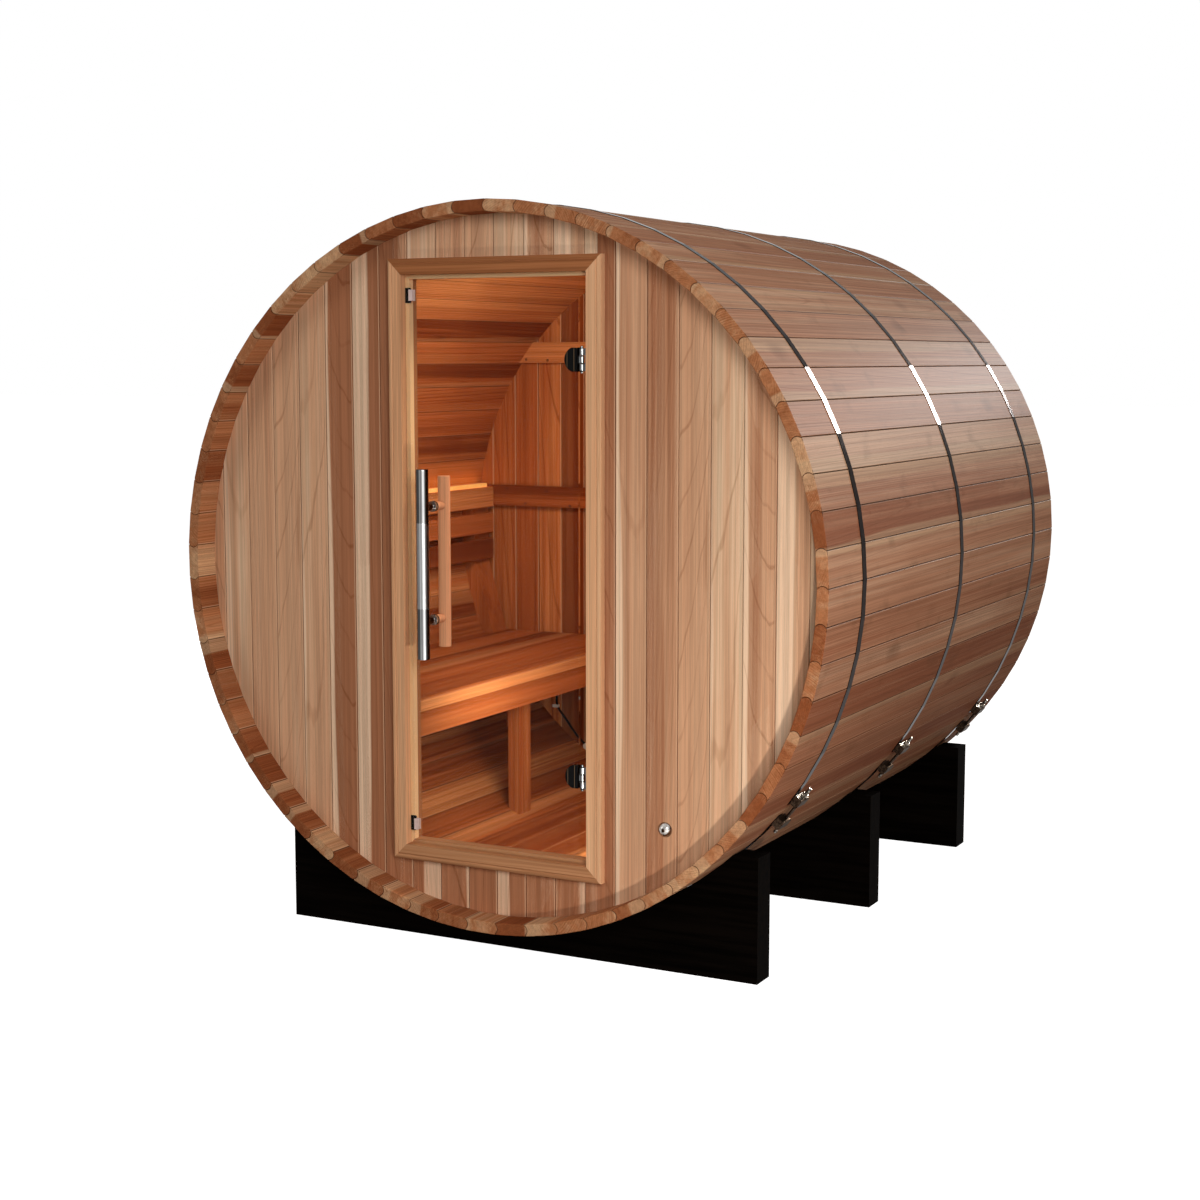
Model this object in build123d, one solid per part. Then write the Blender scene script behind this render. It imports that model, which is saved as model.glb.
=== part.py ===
from build123d import *
import os
from math import asin, ceil, cos, degrees, radians, sin, sqrt, tan

os.makedirs("parts", exist_ok=True)

# Millimetres. X is to the right of someone facing the door, Y runs back along the barrel, Z is up.
# Every y below is counted from the barrel's front rim; save() moves the model to its origin,
# which is on the ground in the middle of the barrel's length.

# barrel of staves
barrel_length = 1910.0
barrel_radius = 915.0        # to the joints between the staves
stave_thickness = 30.0
segment_count = 13
staves_per_segment = 5
stave_phase = 0.55           # degrees from +X to the nearest joint
joint_groove = 2.2           # eased outer arris of each stave
bead_sag = 6.5               # how far a stave's rounded edge stands out
bead_shoulder = 2.5          # flat left beside the bead
joint_clearance = 0.3
ground_gap = 74.0            # from the ground to the bottom of the barrel

# cradles the barrel lies in
cradle_width = 1374.0
cradle_height = 315.0
cradle_thickness = 76.0
cradle_front_place = 143.0   # from the front rim to the first cradle
cradle_middle_shift = -19.0  # of the middle cradle's front from the barrel's middle
cradle_rear_place = 182.0    # from the rear rim to the last cradle's front
cradle_names = ["cradle_front", "cradle_middle", "cradle_rear"]
seat_clearance = 0.3

# steel hoops and their tensioners
hoop_width = 25.0
hoop_thickness = 1.5
hoop_groove_gap = 1.0        # beside the band, where a cradle is grooved for it
hoop_front_place = 233.0     # from the front rim to the middle of the first hoop
hoop_middle_shift = 36.0     # of the middle hoop from the barrel's middle
hoop_rear_place = 209.0      # from the rear rim to the middle of the last hoop
tensioner_joint = -7         # joint that the tensioners lie over, counted from the one nearest +X
lug_spacing = 75.0
lug_length = 26.0
lug_width = 50.0
lug_height = 22.0
lug_corner = 5.0
rod_diameter = 8.0
rod_length = 152.0
rod_offset = 26.0
nut_size = 15.0
nut_height = 8.0
band_gap = 36.0              # where the band is cut between its lugs

# end walls
front_recess = 73.0
wall_thickness = 38.0
rear_overhang = 406.0        # from the back wall to the rear rim
wall_clearance = 0.3

# door frame
casing_width = 608.0
casing_foot_clear = 151.0    # from the bottom of the barrel to the casing
casing_head_clear = 136.0    # from the casing to the top of the barrel
casing_face = 40.0
casing_proud = 22.0
casing_flat = 25.0
casing_groove = 2.5
bead_drop = 4.5
lining_thickness = 20.0
stop_depth = 10.0
stop_setback = 26.0          # from the casing's front to the stop

# glass door
glass_thickness = 8.0
glass_setback = 13.0         # from the casing's front to the glass
door_gap = 5.5
hinge_edge_gap = 26.0        # from the frame to the glass on the hinge side
glass_corner = 3.0

# hinges
pivot_inset = 14.0
pivot_setback = 7.0          # from the casing's front to the pin
knuckle_radius = 6.0
pin_radius = 3.0
pin_clearance = 0.3
knuckle_length = 18.0
knuckle_gap = 0.6
knuckle_lap = 1.2            # how far a plate runs into its knuckle
web_gap = 1.0                # from the door's web to its knuckle
leaf_setback = 1.0           # of the leaf's front edge behind the knuckles
cut_margin = 1.0             # a bore's cut past both ends
finial_radius = 4.2
hinge_foot_clear = 263.0     # from the casing's foot to the lower hinge
hinge_head_clear = 252.0     # from the upper hinge to the casing's top
clamp_width = 36.0
clamp_height = 58.0
clamp_thickness = 5.0
clamp_inset = 2.0            # clamp plate's straight edge inside the glass edge
clamp_bevel = 1.6
leaf_thickness = 3.0
leaf_depth = 24.0

# door pull: steel tube outside, wooden bar inside
pull_x = -184.0
pull_rise = 4.5              # of the pull's middle above the door's middle
pull_diameter = 32.0
tube_length = 483.0
tube_wall = 2.0
bar_length = 440.0
standoff_spacing = 290.0
standoff_diameter = 22.0
pull_reach = 30.0            # clear gap between the glass and the outer tube
bar_reach = 34.0

# catches on the free edge
catch_foot_clear = 93.0      # from the casing's foot to the lower catch
catch_head_clear = 91.0      # from the upper catch to the casing's top
catch_height = 38.0
catch_thickness = 3.8
strike_width = 12.0
strike_height = 28.0
strike_thickness = 3.0
strike_gap = 1.0

# grommet of the supply lead, low on the front wall
grommet_angle = -52.43       # degrees about the barrel's axis
grommet_inset = 144.0        # from the barrel's radius to the grommet's middle
grommet_diameter = 38.0
grommet_rise = 12.0
grommet_bore = 9.0

# bench
bench_top_height = 631.0
bench_door_gap = 19.0        # from the door's opening to the bench's front, along the wall
board_thickness = 38.0
nosing_radius = 14.0
apron_height = 66.0
apron_setback = 6.0
leg_setback = 74.0
leg_width = 66.0
leg_shift = 51.0             # of the leg's middle from the cabin's middle
bearer_end_gap = 89.0        # from the front wall to the first bearer
bearer_leg_gap = 38.5        # from the leg to the middle bearer
bearer_back_gap = 66.0       # from the last bearer's front to the back wall
cleat_thickness = 25.0
cleat_drop = 158.0
rest_clearance = 3.0

# backrest
slat_height = 66.0
slat_gap = 18.0
slat_thickness = 20.0
backrest_rise = 470.0        # from the bench to the top of the upper slat
slat_inset = 97.0            # from the barrel's side to the slats' faces
slat_arris = 3.0
rib_depth = 89.0
rib_end_gap = 4.0            # from the slats' front end to the first rib
rib_shift = -43.5            # of the middle rib's front from the cabin's middle
rib_foot = 38.0
lamp_width = 16.0
lamp_height = 12.0
lamp_front_gap = 76.0        # from the slats' front end to the lamp
lamp_back_gap = 7.0

# cleats across the back wall
batten_height = 66.0
batten_thickness = 19.0
batten_lift = 6.0            # of the lower batten's top above the backrest
batten_head_clear = 333.0    # from the upper batten's top to the top of the barrel

# floor
deck_top = 177.0
deck_leg_gap = 47.0          # from the bench's leg to the deck
deck_thickness = 20.0
deck_bearer_width = 45.0
deck_bearer_gap = 56.0       # from the deck's ends to the outer bearers

# lead of the lamp, clipped to the back wall under the bench
lead_diameter = 7.0
lead_stand = 5.0             # from the wall to the middle of the lead
lead_angles = [219.0, 222.8, 225.4, 229.1, 233.0, 236.5]  # of its bends, about the barrel's axis
lead_insets = [138.0, 114.0, 71.4, 66.4, 51.8, 45.5]      # of its bends, from the barrel's radius
clip_width = 20.0
clip_height = 9.0
gland_diameter = 20.0
gland_length = 14.0
bend_share = 0.45            # of the shorter run beside a bend that its curve takes up

# values worked out from the sizes above
axis_height = ground_gap + barrel_radius
barrel_top = ground_gap + 2 * barrel_radius
barrel_middle = barrel_length / 2
cradle_places = [cradle_front_place, barrel_middle + cradle_middle_shift, barrel_length - cradle_rear_place]
hoop_places = [hoop_front_place, barrel_middle + hoop_middle_shift, barrel_length - hoop_rear_place]
stave_angle = 360.0 / (segment_count * staves_per_segment)
half_stave = radians(stave_angle / 2)
tensioner_angle = stave_phase + tensioner_joint * stave_angle
outer_flat = barrel_radius * cos(half_stave)
inner_flat = outer_flat - stave_thickness
wall_back = front_recess + wall_thickness
rear_wall_front = barrel_length - rear_overhang - wall_thickness
cabin_middle = (wall_back + rear_wall_front) / 2
frame_front = front_recess - casing_proud
casing_foot = ground_gap + casing_foot_clear
casing_top = barrel_top - casing_head_clear
casing_height = casing_top - casing_foot
opening_width = casing_width - 2 * casing_face
opening_height = casing_height - 2 * casing_face
door_middle = (casing_foot + casing_top) / 2
glass_front = frame_front + glass_setback
glass_back = glass_front + glass_thickness
stop_front = frame_front + stop_setback
pivot_x = opening_width / 2 - pivot_inset
pivot_y = frame_front + pivot_setback
glass_right = opening_width / 2 - hinge_edge_gap
glass_left = -opening_width / 2 + door_gap
hinge_heights = [casing_foot + hinge_foot_clear, casing_top - hinge_head_clear]
catch_heights = [casing_foot + catch_foot_clear, casing_top - catch_head_clear]
pull_height = door_middle + pull_rise
hoop_outer = outer_flat + seat_clearance + hoop_thickness
room_front = wall_back + rest_clearance
room_back = rear_wall_front - rest_clearance
bench_front = -opening_width / 2 - bench_door_gap
leg_right = bench_front - leg_setback
deck_edge = -leg_right - deck_leg_gap
bench_foot = bench_top_height - board_thickness


def polar(radius, angle):
    return (radius * cos(radians(angle)), radius * sin(radians(angle)))


def outline(points):
    return make_face(Polyline(*points, close=True))


def prism(face, y0, y1):
    """Runs a face, drawn as X and Z, from y0 back to y1."""
    place = Plane(origin=(0, y1, 0), x_dir=(1, 0, 0), z_dir=(0, -1, 0))
    return extrude(place * face, amount=y1 - y0)


def block(x0, x1, y0, y1, z0, z1):
    middle = ((x0 + x1) / 2, (y0 + y1) / 2, (z0 + z1) / 2)
    return Pos(*middle) * Box(x1 - x0, y1 - y0, z1 - z0)


def rod(radius, start, end):
    """A round rod between two points."""
    run = Vector(*end) - Vector(*start)
    return Plane(origin=start, z_dir=run) * Cylinder(
        radius, run.length, align=(Align.CENTER, Align.CENTER, Align.MIN))


def save(name, *solids):
    """Moves the pieces of one node to the model's origin and writes them."""
    placed = [Pos(0, -barrel_length / 2, 0) * solid for solid in solids]
    shape = placed[0] if len(placed) == 1 else Compound(children=placed)
    export_step(shape, f"parts/{name}.step")


def barrel_outline(flat):
    """The barrel's many-sided outline, with its flats at a distance from the axis."""
    count = segment_count * staves_per_segment
    points = [polar(flat / cos(half_stave), stave_phase + k * stave_angle) for k in range(count)]
    return Pos(0, axis_height) * outline(points)


def inside_barrel(solid, clearance=seat_clearance):
    """Trims a piece to the curve of the staves it is scribed to."""
    return solid & prism(barrel_outline(inner_flat - clearance), 0, barrel_length)


# staves

def bead_face(angle, clearance):
    """The rounded edge that stands out past the radial line at an angle."""
    radius = (barrel_radius + inner_flat) / 2
    half = stave_thickness / 2 - bead_shoulder + clearance
    across = Vector(*polar(1, angle))
    along = Vector(*polar(1, angle + 90))
    low = across * (radius - half)
    high = across * (radius + half)
    tip = across * radius + along * (bead_sag + clearance)
    return make_face([ThreePointArc(low, tip, high), Line(high, low)])


def segment_face():
    """Five staves side by side: flat faces, eased joints, a bead on one edge and a cove on the other."""
    corners = [Vector(*polar(barrel_radius, stave_phase + k * stave_angle))
               for k in range(staves_per_segment + 1)]
    side = (corners[1] - corners[0]).length
    ease = joint_groove / side
    points = []
    for k, corner in enumerate(corners):
        if k > 0:
            points.append(corner + (corners[k - 1] - corner) * ease)
        points.append(corner * (1 - joint_groove / barrel_radius))
        if k < staves_per_segment:
            points.append(corner + (corners[k + 1] - corner) * ease)
    inner_corner = inner_flat / cos(half_stave)
    for k in reversed(range(staves_per_segment + 1)):
        points.append(Vector(*polar(inner_corner, stave_phase + k * stave_angle)))
    end = stave_phase + staves_per_segment * stave_angle
    face = outline([(p.X, p.Y) for p in points])
    return face + bead_face(end, 0) - bead_face(stave_phase, joint_clearance)


segment = prism(Pos(0, axis_height) * segment_face(), 0, barrel_length)
barrel_axis = Axis((0, 0, axis_height), (0, -1, 0))
for number in range(segment_count):
    turned = segment.rotate(barrel_axis, number * staves_per_segment * stave_angle)
    save(f"staves_{number + 1:02d}", turned)


# cradles

side = cradle_width / 2
cradle_face = outline([(-side, 0), (side, 0), (side, cradle_height), (-side, cradle_height)])
cradle_face -= Pos(0, axis_height) * Circle(barrel_radius + seat_clearance)
groove_face = barrel_outline(hoop_outer + seat_clearance)
groove_half = hoop_width / 2 + hoop_groove_gap
for name, place in zip(cradle_names, cradle_places):
    cradle = prism(cradle_face, place, place + cradle_thickness)
    for band_place in hoop_places:
        cradle -= prism(groove_face, band_place - groove_half, band_place + groove_half)
    save(name, cradle)


# hoops

def at_tensioner(solid):
    """Moves a piece drawn with X along the hoop and Z outwards to the tensioner's place on the hoop."""
    return Pos(0, 0, axis_height) * Rot(0, 90 - tensioner_angle, 0) * solid


def hoop(place):
    """A band that lies flat on each stave and bends at the joints."""
    ring = barrel_outline(hoop_outer) - barrel_outline(hoop_outer - hoop_thickness)
    band = prism(ring, place - hoop_width / 2, place + hoop_width / 2)
    cut = at_tensioner(Pos(0, place, hoop_outer) * Box(band_gap, 2 * hoop_width, 4 * hoop_thickness))
    return band - cut


def tensioner(place):
    """Two lugs on the band's ends, drawn together by a threaded rod with a nut outside each lug."""
    lug_y = place - hoop_width / 2 + lug_width / 2
    rod_y = place + rod_offset
    rod_height = hoop_outer + lug_height / 2
    body = Pos(0, rod_y, rod_height) * Rot(0, 90, 0) * Cylinder(rod_diameter / 2, rod_length)
    for way in (-1, 1):
        lug = Box(lug_length, lug_width, lug_height)
        lug = fillet(lug.edges().filter_by(Axis.Y).group_by(Axis.Z)[-1], lug_corner)
        body += Pos(way * lug_spacing / 2, lug_y, rod_height) * lug
        nut_x = way * (lug_spacing + lug_length + nut_height) / 2
        nut = extrude(RegularPolygon(nut_size / 2, 6), amount=nut_height / 2, both=True)
        body += Pos(nut_x, rod_y, rod_height) * Rot(0, 90, 0) * nut
    return at_tensioner(body)


save("hoops", *[hoop(place) for place in hoop_places])
save("tensioners", *[tensioner(place) for place in hoop_places])


# end walls

wall_hole_x = opening_width / 2 + lining_thickness + wall_clearance
wall_hole_top = door_middle + opening_height / 2 + lining_thickness + wall_clearance
wall_hole_foot = door_middle - opening_height / 2 - lining_thickness - wall_clearance
front_disc = prism(barrel_outline(inner_flat - wall_clearance), front_recess, wall_back)


def front_part(x0, x1, z0, z1):
    return front_disc & block(x0, x1, front_recess, wall_back, z0, z1)


save("front_wall_left", front_part(-barrel_radius, -wall_hole_x, 0, barrel_top))
save("front_wall_right", front_part(wall_hole_x, barrel_radius, 0, barrel_top))
save("front_wall_over_door", front_part(-wall_hole_x, wall_hole_x, wall_hole_top, barrel_top))
save("front_wall_under_door", front_part(-wall_hole_x, wall_hole_x, 0, wall_hole_foot))
save("back_wall", prism(barrel_outline(inner_flat - wall_clearance), rear_wall_front,
                        rear_wall_front + wall_thickness))


# door frame

def frame_bar(half, half_length):
    """One side of the frame, upright, with its inner face at x = half and mitred ends."""
    flat_end = half + casing_flat
    outer = half + casing_face
    bead_top = (flat_end + casing_groove + outer) / 2
    section = [
        Line((half, frame_front), (flat_end, frame_front)),
        Line((flat_end, frame_front), (flat_end + casing_groove, frame_front + casing_groove)),
        ThreePointArc((flat_end + casing_groove, frame_front + casing_groove),
                      (bead_top, frame_front), (outer, frame_front + bead_drop)),
        Line((outer, frame_front + bead_drop), (outer, front_recess)),
        Line((outer, front_recess), (half + lining_thickness, front_recess)),
        Line((half + lining_thickness, front_recess), (half + lining_thickness, wall_back)),
        Line((half + lining_thickness, wall_back), (half - stop_depth, wall_back)),
        Line((half - stop_depth, wall_back), (half - stop_depth, stop_front)),
        Line((half - stop_depth, stop_front), (half, stop_front)),
        Line((half, stop_front), (half, frame_front)),
    ]
    bar = extrude(make_face(section), amount=half_length, both=True)
    inner_length = half_length - casing_face - stop_depth
    mitre = outline([(outer, -half_length), (outer, half_length),
                     (half - stop_depth, inner_length), (half - stop_depth, -inner_length)])
    return bar & prism(mitre, 0, 2 * wall_back)


jamb = frame_bar(opening_width / 2, casing_height / 2)
rail = frame_bar(opening_height / 2, casing_width / 2)
door_place = Pos(0, 0, door_middle)
save("door_jamb_right", door_place * jamb)
save("door_jamb_left", door_place * mirror(jamb, Plane.YZ))
save("door_head", door_place * Rot(0, -90, 0) * rail)
save("door_sill", door_place * Rot(0, 90, 0) * rail)


# glass door

glass_foot = door_middle - opening_height / 2 + door_gap
glass_top = door_middle + opening_height / 2 - door_gap
glass = block(glass_left, glass_right, glass_front, glass_back, glass_foot, glass_top)
glass = fillet(glass.edges().filter_by(Axis.Y), glass_corner)
save("glass_door", glass)


# hinges: the jamb's part has the two outer knuckles and the pin, the door's part the middle one

def on_pin(radius, z0, z1):
    return rod(radius, (pivot_x, pivot_y, z0), (pivot_x, pivot_y, z1))


def hinge_jamb_part(height):
    half = knuckle_length * 1.5 + knuckle_gap
    inner = knuckle_length / 2 + knuckle_gap
    body = on_pin(pin_radius, height - half, height + half)
    leaf_front = pivot_y - knuckle_radius + leaf_setback
    body += block(opening_width / 2 - leaf_thickness, opening_width / 2, leaf_front, leaf_front + leaf_depth,
                  height - half, height + half)
    for way in (-1, 1):
        low, high = sorted((height + way * inner, height + way * half))
        body += on_pin(knuckle_radius, low, high)
        body += block(pivot_x + knuckle_radius - knuckle_lap, opening_width / 2,
                      pivot_y - knuckle_radius / 2, pivot_y + knuckle_radius / 2, low, high)
        body += Pos(pivot_x, pivot_y, height + way * (half + finial_radius / 2)) * Sphere(finial_radius)
    return body


def clamp_plate(height, y0, y1):
    """A D-shaped plate with its round side away from the hinge."""
    right = glass_right - clamp_inset
    left = right - clamp_width
    half = clamp_height / 2
    bend = left + clamp_width * 0.55
    face = make_face([
        ThreePointArc((bend, height - half), (left, height), (bend, height + half)),
        Line((bend, height + half), (right, height + half)),
        Line((right, height + half), (right, height - half)),
        Line((right, height - half), (bend, height - half)),
    ])
    return prism(face, y0, y1)


def hinge_door_part(height):
    front = clamp_plate(height, glass_front - clamp_thickness, glass_front)
    front = chamfer(front.faces().sort_by(Axis.Y)[0].edges(), clamp_bevel)
    body = front + clamp_plate(height, glass_back, glass_back + clamp_thickness)
    web_left = glass_right + seat_clearance
    web_right = pivot_x - knuckle_radius - web_gap
    web_half = knuckle_length / 2
    for y0, y1 in ((glass_front - clamp_thickness, glass_front), (glass_back, glass_back + clamp_thickness)):
        body += block(glass_right - clamp_inset, web_right, y0, y1, height - web_half, height + web_half)
    body += block(web_left, web_right, glass_front - clamp_thickness, glass_back + clamp_thickness,
                  height - web_half, height + web_half)
    arm = block(web_left, pivot_x, pivot_y - knuckle_radius / 2, pivot_y + knuckle_radius / 2,
                height - web_half, height + web_half)
    body += arm + block(web_left, web_right, pivot_y, glass_front, height - web_half, height + web_half)
    body += on_pin(knuckle_radius, height - web_half, height + web_half)
    return body - on_pin(pin_radius + pin_clearance, height - web_half - cut_margin, height + web_half + cut_margin)


save("hinges_on_jamb", *[hinge_jamb_part(height) for height in hinge_heights])
save("hinges_on_glass", *[hinge_door_part(height) for height in hinge_heights])


# door pull

tube_y = glass_front - pull_reach - pull_diameter / 2
bar_y = glass_back + bar_reach + pull_diameter / 2
standoff_heights = [pull_height - standoff_spacing / 2, pull_height + standoff_spacing / 2]
tube = rod(pull_diameter / 2, (pull_x, tube_y, pull_height - tube_length / 2),
           (pull_x, tube_y, pull_height + tube_length / 2))
tube = fillet(tube.edges(), tube_wall)
bar = rod(pull_diameter / 2, (pull_x, bar_y, pull_height - bar_length / 2),
          (pull_x, bar_y, pull_height + bar_length / 2))
bar = fillet(bar.edges(), tube_wall)
for height in standoff_heights:
    tube += rod(standoff_diameter / 2, (pull_x, tube_y, height), (pull_x, glass_front, height))
    bar += rod(standoff_diameter / 2, (pull_x, bar_y, height), (pull_x, glass_back, height))
save("door_pull_outside", tube)
save("door_pull_inside", bar)


# catches: a block on the frame's stop and a strike clipped on the glass

catch_right = glass_left + strike_width - strike_gap
strikes = []
catches = []
for height in catch_heights:
    catch = block(-opening_width / 2, catch_right, stop_front - catch_thickness, stop_front,
                  height - catch_height / 2, height + catch_height / 2)
    catches.append(fillet(catch.edges().filter_by(Axis.Y).sort_by(Axis.X)[-2:], catch_thickness))
    for y0, y1 in ((glass_front - strike_thickness, glass_front), (glass_back, glass_back + strike_thickness)):
        strikes.append(block(catch_right + strike_gap, catch_right + strike_gap + strike_width, y0, y1,
                             height - strike_height / 2, height + strike_height / 2))
save("catches", *catches)
save("catch_strikes", *strikes)


# grommet

grommet_x, grommet_lift = polar(barrel_radius - grommet_inset, grommet_angle)
grommet_z = axis_height + grommet_lift
dome_radius = (grommet_diameter ** 2 / 4 + grommet_rise ** 2) / (2 * grommet_rise)
dome = Pos(grommet_x, front_recess + dome_radius - grommet_rise, grommet_z) * Sphere(dome_radius)
dome &= block(grommet_x - grommet_diameter, grommet_x + grommet_diameter, 0, front_recess,
              grommet_z - grommet_diameter, grommet_z + grommet_diameter)
dome -= rod(grommet_bore / 2, (grommet_x, 0, grommet_z), (grommet_x, front_recess, grommet_z))
save("lead_grommet", dome)


# bench

bench = inside_barrel(block(-barrel_radius, bench_front, room_front, room_back, bench_foot, bench_top_height))
nose = bench.edges().filter_by(Axis.Y).group_by(Axis.X)[-1].sort_by(Axis.Z)[-1]
bench = fillet(nose, nosing_radius)
save("bench_top", bench)

apron_front = bench_front - apron_setback
apron_back = apron_front - board_thickness
save("bench_apron", block(apron_back, apron_front, room_front, room_back, bench_foot - apron_height, bench_foot))

leg_left = leg_right - board_thickness
leg_place = cabin_middle + leg_shift
leg_back = leg_place + leg_width / 2
leg = inside_barrel(block(leg_left, leg_right, leg_place - leg_width / 2, leg_back, 0, bench_foot))
leg += block(leg_left - cleat_thickness, leg_left, leg_place, leg_back, bench_foot - cleat_drop, bench_foot)
save("bench_leg", leg)

bearers = []
for place in (wall_back + bearer_end_gap, leg_back + bearer_leg_gap, rear_wall_front - bearer_back_gap):
    bearers.append(inside_barrel(block(-barrel_radius, apron_back, place, place + board_thickness,
                                       bench_foot - apron_height, bench_foot)))
save("bench_bearers", *bearers)


# backrest

slats = []
slat_face = slat_inset - barrel_radius
slat_top = bench_top_height + backrest_rise
slat_pitch = slat_height + slat_gap
slat_back = slat_face - slat_thickness
backrest_back = rear_wall_front - batten_thickness - seat_clearance
for number in range(3):
    top = slat_top - number * slat_pitch
    slat = block(slat_back, slat_face, room_front, backrest_back, top - slat_height, top)
    slats.append(chamfer(slat.edges().filter_by(Axis.Y).group_by(Axis.X)[-1], slat_arris))
slats_foot = slat_top - 2 * slat_pitch - slat_height


def stave_x(height, clearance=seat_clearance):
    """Where the staves' inner side is, on the left, at a height."""
    return -sqrt((inner_flat - clearance) ** 2 - (height - axis_height) ** 2)


def backrest_rib(place):
    """A bracket sawn to the barrel's curve, which stands on the bench and carries the slats."""
    foot_x = stave_x(bench_top_height) + rib_foot
    face = outline([(foot_x, bench_top_height), (slat_back, slats_foot), (slat_back, slat_top),
                    (-barrel_radius, slat_top), (-barrel_radius, bench_top_height)])
    return inside_barrel(prism(face, place, place + rib_depth))


rib_places = [room_front + rib_end_gap, cabin_middle + rib_shift, backrest_back - rib_depth]
ribs = [backrest_rib(place) for place in rib_places]
save("backrest_slats", *slats)
save("backrest_ribs", *ribs)

lamp_left = slat_back - lamp_width
save("lamp_strip", block(lamp_left, slat_back, room_front + lamp_front_gap, backrest_back - lamp_back_gap,
                         slat_top, slat_top + lamp_height))


# cleats on the back wall

battens = []
for top in (slat_top + batten_lift, barrel_top - batten_head_clear):
    strip = block(-barrel_radius, barrel_radius, rear_wall_front - batten_thickness, rear_wall_front,
                  top - batten_height, top)
    battens.append(inside_barrel(strip))
save("back_wall_battens", *battens)


# floor

deck = inside_barrel(block(-deck_edge, deck_edge, room_front, room_back, deck_top - deck_thickness, deck_top))
save("floor_deck", deck)
deck_bearer_end = (room_back - room_front) / 2 - deck_bearer_gap - deck_bearer_width / 2
deck_bearer = inside_barrel(block(-deck_edge, deck_edge, cabin_middle - deck_bearer_width / 2,
                                  cabin_middle + deck_bearer_width / 2, 0, deck_top - deck_thickness))
save("floor_bearers", *[Pos(0, way * deck_bearer_end, 0) * deck_bearer for way in (-1, 0, 1)])


# lamp lead, its clip and the gland it goes into

lead_y = rear_wall_front - lead_stand
bends = [polar(barrel_radius - inset, angle) for angle, inset in zip(lead_angles, lead_insets)]
route = [Vector(bends[0][0], lead_y, bench_foot - seat_clearance)]
route += [Vector(x, lead_y, axis_height + rise) for x, rise in bends]
runs = [(b - a).length for a, b in zip(route, route[1:])]
radii = []
for k in range(1, len(route) - 1):
    turn = radians((route[k] - route[k - 1]).get_angle(route[k + 1] - route[k]))
    radii.append(bend_share * min(runs[k - 1], runs[k]) / tan(turn / 2))
path = FilletPolyline(*route, radius=radii)
lead_section = Plane(origin=route[0], z_dir=route[1] - route[0]) * Circle(lead_diameter / 2)
save("lamp_lead", sweep(lead_section, path=path))
lead_room = sweep(Plane(origin=route[0], z_dir=route[1] - route[0]) * Circle(lead_diameter / 2 + joint_clearance),
                  path=path)

clipped = route[len(route) // 2]
clip_x, clip_z = clipped.X, clipped.Z
clip = block(clip_x - clip_width / 2, clip_x + clip_width / 2, lead_y - lead_diameter, rear_wall_front,
             clip_z - clip_height / 2, clip_z + clip_height / 2)
gland_x, gland_z = route[-1].X, route[-1].Z
gland = rod(gland_diameter / 2, (gland_x, lead_y - gland_length / 2, gland_z), (gland_x, rear_wall_front, gland_z))
save("lamp_lead_clips", clip - lead_room, gland - lead_room)
print("lamp lead, mm:", round(path.length))
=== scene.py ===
import math
import bpy
import bmesh
from mathutils import Matrix, Vector


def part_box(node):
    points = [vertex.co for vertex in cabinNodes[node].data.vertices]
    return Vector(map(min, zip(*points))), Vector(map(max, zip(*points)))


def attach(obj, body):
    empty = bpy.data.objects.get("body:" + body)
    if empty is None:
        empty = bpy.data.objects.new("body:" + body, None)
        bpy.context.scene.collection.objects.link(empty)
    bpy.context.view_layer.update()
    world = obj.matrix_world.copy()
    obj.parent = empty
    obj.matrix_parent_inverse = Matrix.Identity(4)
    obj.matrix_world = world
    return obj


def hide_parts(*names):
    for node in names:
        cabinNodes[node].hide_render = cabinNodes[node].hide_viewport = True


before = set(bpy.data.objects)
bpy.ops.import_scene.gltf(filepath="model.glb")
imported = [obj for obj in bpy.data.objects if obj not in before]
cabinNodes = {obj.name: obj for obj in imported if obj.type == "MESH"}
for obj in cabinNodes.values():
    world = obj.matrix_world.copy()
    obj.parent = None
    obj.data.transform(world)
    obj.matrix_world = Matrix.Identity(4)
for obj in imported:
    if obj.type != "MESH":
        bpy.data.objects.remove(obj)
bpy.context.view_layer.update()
print("frame loaded:", len(cabinNodes), "nodes")


# a Signal is one output of a node: sums, products and comparisons of Signals make Math nodes

class Signal:
    def __init__(self, socket):
        self.socket = socket

    def __abs__(self):
        return calc("ABSOLUTE", self)


class Outputs:
    def __init__(self, node):
        self.sockets = node.outputs

    def __getitem__(self, key):
        return Signal(self.sockets[key])


for method, operation in {"add": "ADD", "sub": "SUBTRACT", "mul": "MULTIPLY", "truediv": "DIVIDE", "pow": "POWER",
                          "gt": "GREATER_THAN", "lt": "LESS_THAN"}.items():
    setattr(Signal, f"__{method}__", lambda self, other, kind=operation: calc(kind, self, other))
    setattr(Signal, f"__r{method}__", lambda self, other, kind=operation: calc(kind, other, self))


def treeOf(*values):
    return next(value.socket.id_data for value in values if isinstance(value, Signal))


def feed(socket, value):
    if isinstance(value, Signal):
        socket.id_data.links.new(value.socket, socket)
    else:
        socket.default_value = value


def addNode(tree, kind, feeds=None, **settings):
    node = tree.nodes.new(kind)
    for name, value in settings.items():
        setattr(node, name, value)
    for key, value in (feeds or {}).items():
        if value is not None:
            feed(node.inputs[key], value)
    return node


def newNode(tree, kind, feeds=None, **settings):
    return Outputs(addNode(tree, kind, feeds, **settings))


def calc(operation, *values):
    return newNode(treeOf(*values), "ShaderNodeMath", dict(enumerate(values)), operation=operation)[0]


def larger(first, second):
    return calc("MAXIMUM", first, second)


def ramp(value, low, high, fromZero=0.0, toOne=1.0):
    feeds = dict(enumerate((value, low, high, fromZero, toOne)))
    return newNode(treeOf(value), "ShaderNodeMapRange", feeds, interpolation_type="SMOOTHSTEP")[0]


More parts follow.
